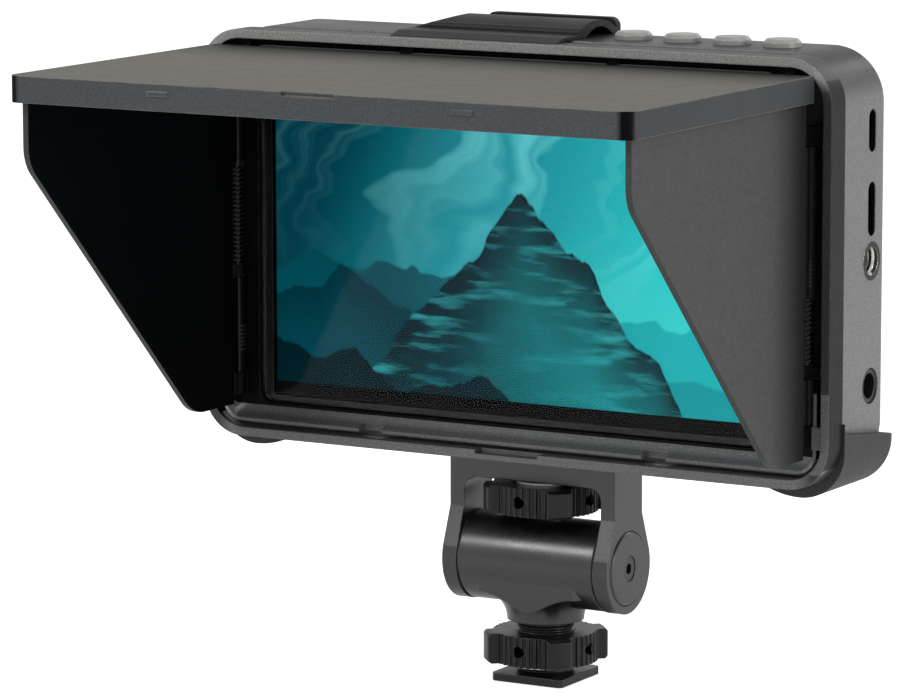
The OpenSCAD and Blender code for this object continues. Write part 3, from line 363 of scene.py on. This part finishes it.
def insert_end_paint_and_bore_shade(t):
    """The side insert's outer end, painted dark, and painted shade in the depth of its bore."""
    end = t.math("MULTIPLY", t.facing((1, 0, 0)), t.within((77.9, None, None), OPEN))
    return t.math("MAXIMUM", end, t.within(OPEN, (75.4, None, None), 1.2))


# Painted light and painted shade on the hood frame, and its black lining.
HOOD_PAINTED_LIGHT_AND_SHADE = (
    (hood_top_front_painted_light, (0.25, 0.25, 0.245), 0.45),
    (hood_inside_lining_and_shade, BLACK_LINING_AND_SHADE, 0.08),
    (hood_sill_painted_light, grey(0.30), 0.5),
    (hood_ledge_painted_light, grey(0.13), 0.5),
    (hood_bottom_painted_light, grey(0.13), 0.5),
    (hood_flank_painted_shade, grey(0.007), 0.2),
)
# The right flap's black lining and painted shade; the case's painted shade on its top and in its slots.
RIGHT_FLAP_LINING_AND_SHADE = ((inner_right, BLACK_LINING_AND_SHADE, 0.05), (hinge_shade, grey(0.012), 0.15))
CASE_PAINTED_SHADE = ((case_top_painted_shade, (0.022, 0.022, 0.0215), 0.2), (slot_painted_shade, grey(0.006), 0.1))

# The hood frame's light edges are painted highlight along the rim, besides rubbing.
assign(moulded("hood_plastic", HOOD, rough=0.46, grain=0.4, grain_size=0.3, edge_wear_and_highlight=0.75,
               edge_wear_and_highlight_color=grey(0.30), edge=0.5, specular=0.4, patches=HOOD_PAINTED_LIGHT_AND_SHADE), "hood_frame")
assign(moulded("cup_plastic", grey(0.034), grain_size=0.3, edge_wear_and_highlight=0.3, specular=0.3),
       "left_cup", "right_cup")
assign(moulded("clip_plastic", (0.013, 0.013, 0.0125), grain_size=0.3, edge_wear_and_highlight=0.3, specular=0.2),
       "top_clip")
assign(moulded("left_flap_plastic", HOOD, grain=0.45, grain_size=0.28, edge_wear_and_highlight=0.5, specular=0.35,
               patches=((inner_left, BLACK_LINING_AND_SHADE, 0.05),)), "left_flap")
assign(moulded("right_flap_plastic", (0.040, 0.040, 0.0405), rough=0.52, grain=0.45, grain_size=0.28,
               edge_wear_and_highlight=0.4, specular=0.35, patches=RIGHT_FLAP_LINING_AND_SHADE), "right_flap")
assign(moulded("case_plastic", (0.150, 0.150, 0.147), rough=0.36, grain=0.4, grain_size=0.3, edge_wear_and_highlight=0.5,
               edge_wear_and_highlight_color=(0.45, 0.45, 0.44), edge=0.6, specular=0.55, patches=CASE_PAINTED_SHADE),
       "rear_case")
assign(moulded("button_plastic", (0.27, 0.27, 0.262), rough=0.30, grain=0.2, grain_size=0.25, edge_wear_and_highlight=0.9,
               edge_wear_and_highlight_color=(0.62, 0.62, 0.61), edge=0.5, specular=0.7, speckle=0.06),
       "top_button_1", "top_button_2", "top_button_3", "top_button_4")
assign(moulded("bezel_plastic", grey(0.006), rough=0.42, grain=0.3, grain_size=0.25, specular=0.3),
       "front_bezel")
assign(moulded("battery_plastic", grey(0.02), rough=0.48, grain=0.4), "battery_plate")
assign(moulded("latch_plastic", (0.05, 0.05, 0.052), rough=0.42, grain=0.3, grain_size=0.3),
       "battery_latch")
assign(moulded("socket_plastic", grey(0.008), rough=0.4, grain=0.2, grain_size=0.2),
       "dc_jack", "button_switches", "board_parts")
# The mount's light edges are painted highlight, besides rubbing.
assign(moulded("mount_coat", (0.009, 0.009, 0.0095), rough=0.30, grain=0.5, grain_size=0.22, edge_wear_and_highlight=0.8,
               edge_wear_and_highlight_color=grey(0.16), edge=0.4, metallic=0.1, specular=1.0),
       "yoke", "tilt_barrel", "ear_caps")
assign(moulded("foot_coat", (0.014, 0.014, 0.015), rough=0.32, grain=0.3, grain_size=0.2, edge_wear_and_highlight=0.6,
               edge_wear_and_highlight_color=grey(0.16), edge=0.3, metallic=0.3), "shoe_foot", "threaded_stud")
assign(moulded("wheel_coat", (0.005, 0.005, 0.0053), rough=0.34, grain=0.25, grain_size=0.2, edge_wear_and_highlight=0.9,
               edge_wear_and_highlight_color=grey(0.15), edge=0.3, metallic=0.1, specular=0.4),
       "lock_wheel", "thumb_wheel")
assign(moulded("pad_rubber", grey(0.012), rough=0.75, grain=0.6, grain_size=0.4), "rubber_pad")
assign(moulded("washer_nylon", (0.55, 0.55, 0.52), grain=0.2, grain_size=0.3), "tilt_washers")
assign(moulded("board_green", (0.01, 0.08, 0.035), rough=0.3, grain=0.2, grain_size=0.5),
       "main_board", "button_board")
assign(moulded("cable_film", (0.4, 0.16, 0.03), rough=0.25, grain=0.1, grain_size=0.5),
       "display_cable")
assign(moulded("spring_black", grey(0.010), rough=0.35, grain=0.2, grain_size=0.2, edge_wear_and_highlight=0.4,
               metallic=0.4), "left_spring", "right_spring", "left_pin", "right_pin")
assign(metal("steel", (0.56, 0.56, 0.57), rough=0.28),
       "foot_screw", "camera_screw", "thumb_washer", "lock_washer")
assign(metal("steel_x", (0.6, 0.6, 0.61), rough=0.25, stretch=TURNED_X), "tilt_axle")
# Painted light: the pin's steel is made brighter so that it shows in the shade.
assign(metal("pin_steel", grey(0.82), rough=0.45, stretch=TURNED_X), "top_pin")
assign(metal("dark_steel", (0.09, 0.09, 0.095), rough=0.34), "axle_screws", "case_screws")
# The sockets' insides are near black as painted shade.
assign(metal("shell_steel", (0.5, 0.5, 0.51), stretch=TURNED_X, dark=socket_painted_shade, tone=0.006),
       "usb_port", "hdmi_port")
assign(metal("insert_metal", LIGHT_METAL, rough=0.24, stretch=DRAWN_X), "bottom_insert")
# The side insert's end is painted dark; the depth of its bore has painted shade.
SIDE_METAL = metal("insert_painted_end_bore_shade", LIGHT_METAL, rough=0.24, stretch=DRAWN_X, dark=insert_end_paint_and_bore_shade,
                   tone=0.03)
assign(SIDE_METAL, "side_insert")
assign(metal("tray_metal", grey(0.6), rough=0.35), "backlight_tray")
GOLD = metal("gold", (0.75, 0.55, 0.22), rough=0.25)
assign(GOLD, "battery_contacts")


def lid_top(t, cloud):
    """Scuffed greyish olive, with painted shade that darkens it towards the hinge."""
    speck = t.noise(1 / (0.9 * MM), 3, 0.7)
    y = t.xyz(t.coord.outputs["Object"])[1]
    top = t.mix(t.ramp(cloud, 0.35, 0.65), (0.078, 0.073, 0.052), (0.092, 0.087, 0.064))
    top = t.mix(t.math("MULTIPLY", t.ramp(speck, 0.55, 0.75), 0.45), top, (0.15, 0.145, 0.12))
    top = t.mix(t.math("MULTIPLY", t.ramp(speck, 0.45, 0.28), 0.5), top, (0.055, 0.052, 0.040))
    # Painted shade: near black towards the hinge.
    return t.mix(t.ramp(y, -50 * MM, -22 * MM, 0.0, 0.96, True), top, (0.006, 0.006, 0.0055))


def lid_lip(t, cloud):
    """Blue-grey lips with painted shade on their side faces, and the mask of their two front corners,
    painted near black as shade.
    """
    lip = t.mix(t.ramp(cloud, 0.35, 0.65), (0.054, 0.058, 0.063), (0.062, 0.066, 0.071))
    painted_dark_corner = 0.0
    # Painted shade: the lips' side faces darker, their front corners near black.
    for side in (-1, 1):
        lip = t.mix(t.facing((side, 0, 0), 0.75, 0.97), lip, (0.028, 0.030, 0.032))
        painted_dark_corner = t.math("ADD", painted_dark_corner, t.facing((0.6 * side, -0.8, 0), 0.82, 0.95), clamp=True)
    return t.mix(painted_dark_corner, lip, (0.002, 0.002, 0.003)), painted_dark_corner


def lid_material():
    """Olive top, blue-grey lips, black lining and grey hinge barrels, with scuffed edges. Painted shade
    at the hinge, on the lips' sides and front corners, and painted light on the barrels.
    """
    t = Tree("lid_plastic")
    normal, mask = t.edge(0.4 * MM)
    fine = t.noise(1 / (0.3 * MM), 3, 0.6)
    cloud = t.noise(28, 4, 0.6)
    rub = t.noise(190, 5, 0.7)
    lip, painted_dark_corner = lid_lip(t, cloud)
    upward = t.ramp(t.xyz(t.coord.outputs["Normal"])[2], 0.35, 0.6)
    base = t.mix(upward, lip, lid_top(t, cloud))
    coarse = t.noise(1 / SPECKLE_SIZE, 2, 0.6)
    base = t.mix(1.0, base, t.ramp(coarse, 0.36, 0.64, 0.76, 1.24), "MULTIPLY")
    inner = t.within(*LID_INSIDE)
    base = t.mix(inner, base, BLACK_LINING_AND_SHADE)
    # Painted light: the hinge barrels are made lighter so that they show in their shade.
    barrel = t.within((None, -18.45, None), OPEN)
    base = t.mix(barrel, base, grey(0.12))
    # dark: the lining and the painted dark corners, kept free of edge lightening and shine.
    dark = t.math("MAXIMUM", inner, painted_dark_corner)
    # The lid's lighter edges: scuffs, and painted highlight.
    worn_and_highlit = t.math("MULTIPLY", t.math("MULTIPLY", mask, t.ramp(rub, 0.28, 0.6)), 0.85)
    worn_and_highlit = t.math("MULTIPLY", worn_and_highlit, t.math("SUBTRACT", 1.0, dark))
    base = t.mix(worn_and_highlit, base, (0.34, 0.34, 0.33))
    t.link(base, t.bsdf.inputs["Base Color"])
    t.link(t.math("ADD", t.ramp(cloud, 0.3, 0.7, 0.48, 0.56), t.ramp(rub, 0.3, 0.7, -0.03, 0.03)),
           t.bsdf.inputs["Roughness"])
    t.link(t.blend_value(dark, 0.35, 0.05), t.bsdf.inputs["Specular IOR Level"])
    t.link(t.bump(fine, 0.45, 0.035 * MM, normal), t.bsdf.inputs["Normal"])
    return t.mat


LID_PLASTIC = lid_material()
assign(LID_PLASTIC, "top_flap")


# ---------------------------------------------------------------- screen
PICTURE_HALF_X, PICTURE_HALF_Z, PICTURE_MID_Z = 64.8, 35.6, 100.6
# Two mountain ranges: seed, scale and height of the skyline, its level and tilt, colours left and right.
RANGES = (
    (3.1, 1.7, 0.75, -0.34, -0.20, (0.0, 0.060, 0.080), (0.008, 0.44, 0.47)),
    (7.4, 2.3, 0.80, -0.60, -0.26, (0.0, 0.028, 0.040), (0.004, 0.30, 0.34)),
)


class Picture(Tree):
    """Drawn in u and v, which run from -1 to 1 across and up the picture."""

    def __init__(self):
        super().__init__("screen_picture")
        p = self.xyz(self.coord.outputs["Object"])
        self.u = self.math("DIVIDE", p[0], PICTURE_HALF_X * MM)
        height = self.math("SUBTRACT", p[2], PICTURE_MID_Z * MM)
        self.v = self.math("DIVIDE", height, PICTURE_HALF_Z * MM)
        flat = self.add("ShaderNodeCombineXYZ")
        self.link(self.u, flat.inputs[0])
        self.link(self.v, flat.inputs[1])
        self.flat = flat.outputs[0]

    def line_noise(self, value, scale, detail):
        """Noise that changes with one value only."""
        n = self.add("ShaderNodeTexNoise", noise_dimensions="1D")
        self.link(value, n.inputs["W"])
        n.inputs["Scale"].default_value = scale
        n.inputs["Detail"].default_value = detail
        n.inputs["Roughness"].default_value = 0.5
        return n.outputs["Fac"]

    def sky(self):
        """Dark at the left to bright at the right."""
        across = self.math("ADD", self.u, self.math("MULTIPLY", self.v, -0.25))
        sky = self.mix(self.ramp(across, -0.95, -0.1, 0, 1, True), (0.0, 0.040, 0.062),
                       (0.004, 0.27, 0.33))
        return self.mix(self.ramp(across, -0.2, 0.9, 0, 1, True), sky, (0.02, 0.62, 0.63))

    def curtains(self, sky):
        """Wavering bands of light, fading towards the ground and the left."""
        warp = self.noise(1.3, 3, 0.5, self.flat)
        slant = self.math("ADD", self.u, self.math("MULTIPLY", self.v, -0.35))
        bend = self.math("ADD", slant, self.math("MULTIPLY", warp, 1.1))
        bands = self.ramp(self.line_noise(bend, 4.2, 3), 0.47, 0.68)
        light = self.math("MULTIPLY", bands, self.ramp(self.v, -0.6, 0.8))
        light = self.math("MULTIPLY", light, self.ramp(self.u, -0.9, 0.5, 0.1, 0.75))
        return self.mix(light, sky, (0.24, 0.88, 0.88))

    def glow(self, sky):
        """Light low in the sky at the right."""
        fade = self.ramp(self.u, -0.2, 0.7, 0, 0.9, True)
        fade = self.math("MULTIPLY", self.ramp(self.v, 0.3, -0.9, 0, 1, True), fade)
        return self.mix(fade, sky, (0.05, 0.62, 0.60))

    def skyline(self, seed, scale, height, level):
        """A jagged line of the given height about a level, as a function of u."""
        jag = self.math("SUBTRACT", self.line_noise(self.math("ADD", self.u, seed), scale, 7), 0.5)
        return self.math("ADD", self.math("MULTIPLY", jag, height), level)

    def slope(self, tilt, level):
        return self.math("MULTIPLY_ADD", self.u, tilt, level)

    def layer(self, sky, line, left, right, mist):
        """Fills in below a skyline, fading into mist with depth."""
        depth = self.math("SUBTRACT", line, self.v)
        tone = self.mix(self.ramp(self.u, -0.6, 0.8, 0, 1, True), left, right)
        tone = self.mix(self.ramp(depth, 0.0, 0.75, 0.0, 0.8), tone, mist)
        return self.mix(self.ramp(depth, -0.006, 0.010), sky, tone)

    def snowy_rock(self):
        """Streaks of light snow over dark rock."""
        streak = self.add("ShaderNodeMapping")
        self.link(self.flat, streak.inputs[0])
        streak.inputs["Rotation"].default_value = (0, 0, -0.75)
        streak.inputs["Scale"].default_value = (3.2, 9, 1)
        snow = self.ramp(self.noise(1.3, 7, 0.62, streak.outputs[0]), 0.50, 0.70)
        snow = self.math("MULTIPLY", snow, 0.8)
        return self.mix(snow, (0.0, 0.012, 0.018), (0.03, 0.44, 0.48))

    def peak(self, sky):
        """A central peak that falls to both sides."""
        fall = self.math("MULTIPLY", self.math("ABSOLUTE", self.u), 2.0)
        summit = self.skyline(5.2, 4.5, 0.42, self.math("SUBTRACT", 0.34, fall))
        rock = self.snowy_rock()
        mist = self.mix(self.ramp(self.u, -0.3, 0.6), (0.0, 0.045, 0.06), (0.01, 0.38, 0.40))
        return self.layer(sky, summit, rock, rock, mist)

    def near_ridge(self, sky):
        """A dark ridge along the bottom."""
        line = self.skyline(9.0, 3.1, 0.55, self.slope(-0.30, -1.02))
        return self.layer(sky, line, (0.0, 0.010, 0.014), (0.0, 0.03, 0.04), (0.0, 0.02, 0.03))

    def border(self, view):
        """Black beyond the picture's edges."""
        on = self.math("MULTIPLY", self.ramp(self.math("ABSOLUTE", self.u), 0.995, 1.0, 1, 0),
                       self.ramp(self.math("ABSOLUTE", self.v), 0.995, 1.0, 1, 0))
        return self.mix(on, (0.0, 0.0, 0.0), view)


def picture_material():
    """A made-up view: curtains of light over misty mountains, in teal and cyan, with a black border."""
    t = Picture()
    view = t.glow(t.curtains(t.sky()))
    mist = t.mix(t.ramp(t.u, -0.5, 0.7, 0, 1, True), (0.0, 0.085, 0.115), (0.01, 0.44, 0.46))
    for seed, scale, height, level, tilt, left, right in RANGES:
        line = t.skyline(seed, scale, height, t.slope(tilt, level))
        view = t.layer(view, line, left, right, mist)
    view = t.near_ridge(t.peak(view))
    t.link(t.border(view), t.bsdf.inputs["Emission Color"])
    t.bsdf.inputs["Emission Strength"].default_value = 1.0
    t.bsdf.inputs["Base Color"].default_value = (0.002, 0.002, 0.003, 1)
    t.bsdf.inputs["Roughness"].default_value = 0.25
    t.bsdf.inputs["Specular IOR Level"].default_value = 0.05
    return t.mat


assign(picture_material(), "lcd_panel")


def glass_material():
    """Clear glass with faint smudges. Its index is set low, so its reflections are weak."""
    t = Tree("cover_glass")
    t.bsdf.inputs["Base Color"].default_value = (0.96, 0.98, 0.98, 1)
    t.bsdf.inputs["Transmission Weight"].default_value = 1.0
    t.bsdf.inputs["IOR"].default_value = 1.12
    smudge = t.noise(70, 4, 0.6)
    t.link(t.ramp(smudge, 0.45, 0.75, 0.015, 0.06), t.bsdf.inputs["Roughness"])
    return t.mat


assign(glass_material(), "cover_glass")


# ---------------------------------------------------------------- mesh helpers
def finish_mesh(bm, name, body, mat, smooth=True):
    """Makes a piece of a mesh that rides on a body."""
    mesh = bpy.data.meshes.new(name)
    bmesh.ops.recalc_face_normals(bm, faces=bm.faces)
    bm.to_mesh(mesh)
    bm.free()
    for f in mesh.polygons:
        f.use_smooth = smooth
    obj = bpy.data.objects.new(name, mesh)
    bpy.context.scene.collection.objects.link(obj)
    mesh.materials.append(mat)
    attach(obj, body)


def place(axis, along, radius, angle, centre):
    """A point at a radius and angle about an axis (0 for X, 2 for Z) through centre, all in mm."""
    a, b = radius * math.cos(angle), radius * math.sin(angle)
    if axis == 0:
        return Vector((along, centre[0] + a, centre[1] + b)) * MM
    return Vector((centre[0] + a, centre[1] + b, along)) * MM


def band(bm, lower, upper):
    """Faces between two closed rings of as many points."""
    count = len(lower)
    for k in range(count):
        bm.faces.new((lower[k], lower[(k + 1) % count], upper[(k + 1) % count], upper[k]))


def revolve(bm, profile, axis, centre, steps=48):
    """Turns a closed profile of (distance along the axis, radius) about the axis."""
    rings = [[bm.verts.new(place(axis, x, r, 2 * math.pi * k / steps, centre)) for k in range(steps)]
             for x, r in profile]
    for lower, upper in zip(rings, rings[1:] + rings[:1]):
        band(bm, lower, upper)


SUNK = 0.3


def ribbed_profile(start, end, pitch, low, high):
    """Ribs with sloping sides along a barrel. The profile's inner side lies SUNK mm deeper."""
    count = max(1, round((end - start) / pitch))
    step = (end - start) / count
    out = [(start, low - SUNK), (start, low)]
    for i in range(count):
        x = start + i * step
        out += [(x + 0.15 * step, low), (x + 0.32 * step, high), (x + 0.68 * step, high),
                (x + 0.85 * step, low)]
    return out + [(end, low), (end, low - SUNK)]


def ribbed_sleeve(name, body, slot, mat, axis, centre, span, pitch, low, high):
    """A sleeve of ribs round a barrel: low and high are the radii between and on the ribs."""
    bm = bmesh.new()
    revolve(bm, ribbed_profile(*span, pitch, low, high), axis, centre)
    finish_mesh(bm, name, body, mat)


def raised_pad(bm, centre, low, high, along, around, inset):
    """A pad on a barrel along X, between two distances and two angles, with sloping sides."""
    (x0, x1), (a0, a1), (dx, da) = along, around, inset
    foot = ((x0, a0), (x1, a0), (x1, a1), (x0, a1))
    head = ((x0 + dx, a0 + da), (x1 - dx, a0 + da), (x1 - dx, a1 - da), (x0 + dx, a1 - da))
    lower = [bm.verts.new(place(0, x, low, a, centre)) for x, a in foot]
    upper = [bm.verts.new(place(0, x, high, a, centre)) for x, a in head]
    bm.faces.new(upper)
    band(bm, lower, upper)


def knurled_sleeve(name, body, slot, mat, centre, span, pitch, low, high, flutes=26):
    """A barrel along X covered with small raised pads, staggered from one row to the next."""
    bm = bmesh.new()
    count = round((span[1] - span[0]) / pitch)
    step = (span[1] - span[0]) / count
    turn = 2 * math.pi / flutes
    for i in range(count):
        along = span[0] + (i + 0.12) * step, span[0] + (i + 0.88) * step
        for k in range(flutes):
            around = (k + 0.15 + 0.5 * (i % 2)) * turn, (k + 0.85 + 0.5 * (i % 2)) * turn
            raised_pad(bm, centre, low, high, along, around, (0.16 * step, 0.18 * turn))
    finish_mesh(bm, name, body, mat, smooth=False)


def rounded_bar(bm, low, high, bevel):
    """A bar between two corners in mm, with softened edges."""
    verts = bmesh.ops.create_cube(bm, size=1.0)["verts"]
    for v in verts:
        spot = [(lo + hi) / 2 + v.co[i] * (hi - lo) for i, (lo, hi) in enumerate(zip(low, high))]
        v.co = Vector(spot) * MM
    edges = list({e for v in verts for e in v.link_edges})
    bmesh.ops.bevel(bm, geom=edges, offset=bevel * MM, segments=2, affect="EDGES")


def thread_ridges(name, body, mat, axis, centre, span, pitch, crest, root):
    """A helical thread inside a bore: root is the bore's radius, crest stands inwards.
    The section's distances are parts of the pitch."""
    bm = bmesh.new()
    steps = 40
    total = int((span[1] - span[0]) / pitch * steps)
    section = ((-0.42, root), (-0.08, crest), (0.08, crest), (0.42, root))
    rows = []
    for i in range(total + 1):
        along = span[0] + pitch * i / steps
        angle = 2 * math.pi * i / steps
        spots = [(min(max(along + dx * pitch, span[0]), span[1]), r) for dx, r in section]
        rows.append([bm.verts.new(place(axis, x, r, angle, centre)) for x, r in spots])
    for a, b in zip(rows, rows[1:]):
        for k in range(3):
            bm.faces.new((a[k], a[k + 1], b[k + 1], b[k]))
    finish_mesh(bm, name, body, mat)


# ---------------------------------------------------------------- detail pieces
# Axes of the barrels: (y, z) of those along X, (x, y) of those along Z. Spans run along the axis.
LID_AXIS = (-16.7, 141.7)
LID_SPANS = {"left": (-64.2, -28.2), "middle": (-24.4, 24.4), "right": (28.2, 64.2)}
LEFT_AXIS, LEFT_SPAN = (-73.4, -13.8), (71.8, 78.1)
RIGHT_AXIS, RIGHT_SPAN = (73.4, -15.5), (97.0, 103.3)
INSERT_AXIS, INSERT_SPAN = (6.0, 100.4), (71.6, 77.7)
KNURL = {"pitch": 0.9, "low": 1.38, "high": 1.49}
RIBS = {"pitch": 0.9, "low": 1.58, "high": 1.72}

for side, span in LID_SPANS.items():
    knurled_sleeve("lid_barrel_" + side + "_grip", "top_flap", "top_flap", LID_PLASTIC, LID_AXIS, span,
                   **KNURL)
GRIP_BLACK = moulded("grip_black", grey(0.012), rough=0.45, grain=0.3, grain_size=0.2, edge_wear_and_highlight=0.5,
                     specular=0.3)
ribbed_sleeve("left_barrel_ribs", "left_flap", "left_flap", GRIP_BLACK, 2, LEFT_AXIS, LEFT_SPAN, **RIBS)
ribbed_sleeve("right_barrel_ribs", "right_flap", "right_flap", GRIP_BLACK, 2, RIGHT_AXIS, RIGHT_SPAN,
              **RIBS)
thread_ridges("side_thread_ridges", "monitor", SIDE_METAL, 0, INSERT_AXIS, INSERT_SPAN,
              pitch=1.27, crest=2.75, root=3.19)


def contact_row(name, z, count, pitch):
    """Two rows of gold strips in a socket, centred at a height z, in millimetres."""
    bm = bmesh.new()
    for i in range(count):
        at = z + (i - (count - 1) / 2) * pitch
        for y in (5.60, 6.30):
            rounded_bar(bm, (71.0, y, at - 0.12), (75.9, y + 0.08, at + 0.12), 0.02)
    finish_mesh(bm, name, "monitor", GOLD)


contact_row("usb_contacts", z=129.1, count=8, pitch=0.62)
contact_row("hdmi_contacts", z=111.9, count=10, pitch=0.72)


def rounded_outline(half_x, half_z, radius, steps=8):
    """Points of a rectangle with rounded corners about the origin."""
    out = []
    for k, (sx, sz) in enumerate(((1, 1), (-1, 1), (-1, -1), (1, -1))):
        for i in range(steps + 1):
            a = math.pi / 2 * (k + i / steps)
            out.append((sx * (half_x - radius) + radius * math.cos(a),
                        sz * (half_z - radius) + radius * math.sin(a)))
    return out


def gasket(name, half_x, half_z, radius, width, front, back, soft=0.08):
    """A foam strip round the glass. Its front corners are cut by soft mm."""
    bm = bmesh.new()
    section = ((0, back), (0, front + soft), (soft, front), (width - soft, front), (width, front + soft),
               (width, back))
    rings = []
    for out, y in section:
        outline = rounded_outline(half_x + out, half_z + out, radius + out)
        rings.append([bm.verts.new(Vector((x, y, z + MID_Z)) * MM) for x, z in outline])
    for lower, upper in zip(rings, rings[1:] + rings[:1]):
        band(bm, lower, upper)
    foam = moulded("foam_black", grey(0.004), rough=0.85, grain=0.8, grain_size=0.25, edge_wear_and_highlight=0.0,
                   specular=0.1)
    finish_mesh(bm, name, "monitor", foam)


gasket("glass_gasket", half_x=67.93, half_z=39.33, radius=3.0, width=0.40, front=-12.25, back=-11.95)


# ---------------------------------------------------------------- stage and light
FLOOR_RADIUS, FLOOR_Z = 3.0, -0.0002
FLOOR_SEEN, FLOOR_REFLECTED = 0.75, 0.25


def stage():
    """A white floor. Its own light shows to the camera and, weaker, in reflections and through glass."""
    t = Tree("floor_white")
    path = t.add("ShaderNodeLightPath")
    seen = t.math("MAXIMUM", path.outputs["Is Glossy Ray"], path.outputs["Is Transmission Ray"])
    seen = t.math("MULTIPLY", seen, FLOOR_REFLECTED)
    seen = t.math("MULTIPLY_ADD", path.outputs["Is Camera Ray"], FLOOR_SEEN, seen)
    t.bsdf.inputs["Base Color"].default_value = (0.8, 0.8, 0.8, 1)
    t.bsdf.inputs["Roughness"].default_value = 0.9
    t.bsdf.inputs["Emission Color"].default_value = (1, 1, 1, 1)
    t.link(seen, t.bsdf.inputs["Emission Strength"])
    bm = bmesh.new()
    bmesh.ops.create_circle(bm, cap_ends=True, segments=96, radius=FLOOR_RADIUS)
    mesh = bpy.data.meshes.new("floor")
    bm.to_mesh(mesh)
    bm.free()
    mesh.materials.append(t.mat)
    floor = bpy.data.objects.new("floor", mesh)
    bpy.context.scene.collection.objects.link(floor)
    floor.location.z = FLOOR_Z


SOFT_LIGHT, REFLECTED = 0.42, 0.72


def world():
    """White to the camera and through glass, REFLECTED in reflections and SOFT_LIGHT as light."""
    w = bpy.data.worlds.new("studio")
    bpy.context.scene.world = w
    w.use_nodes = True
    nt = w.node_tree
    nt.nodes.clear()
    out = nt.nodes.new("ShaderNodeOutputWorld")
    light = nt.nodes.new("ShaderNodeBackground")
    light.inputs[0].default_value = (1, 1, 1, 1)
    path = nt.nodes.new("ShaderNodeLightPath")
    level = SOFT_LIGHT
    for rays, share in (("Is Camera Ray", 1 - SOFT_LIGHT), ("Is Transmission Ray", 1 - SOFT_LIGHT),
                        ("Is Glossy Ray", REFLECTED - SOFT_LIGHT)):
        step = nt.nodes.new("ShaderNodeMath")
        step.operation = "MULTIPLY_ADD"
        nt.links.new(path.outputs[rays], step.inputs[0])
        step.inputs[1].default_value = share
        if isinstance(level, float):
            step.inputs[2].default_value = level
        else:
            nt.links.new(level, step.inputs[2])
        level = step.outputs[0]
    nt.links.new(level, light.inputs[1])
    nt.links.new(light.outputs[0], out.inputs[0])


def lamp(name, spot, aim, size, power):
    """A rectangular lamp at a spot, turned to an aim: metres and watts."""
    data = bpy.data.lights.new(name, "AREA")
    data.shape = "RECTANGLE"
    data.size, data.size_y = size
    data.energy = power
    obj = bpy.data.objects.new(name, data)
    bpy.context.scene.collection.objects.link(obj)
    obj.location = spot
    obj.rotation_euler = (Vector(aim) - Vector(spot)).to_track_quat("-Z", "Y").to_euler()


stage()
world()
lamp("key", (-0.45, -0.85, 0.85), (0, 0, 0.1), (0.4, 0.3), 5.5)
lamp("side", (1.1, -0.05, 0.40), (0, 0, 0.09), (0.4, 0.6), 6)
lamp("top", (0.1, 0.25, 1.1), (0, 0, 0.1), (0.8, 0.5), 1.0)
lamp("rim", (0.3, 0.95, 0.62), (0, 0, 0.13), (0.5, 0.15), 0.8)

bpy.context.view_layer.update()
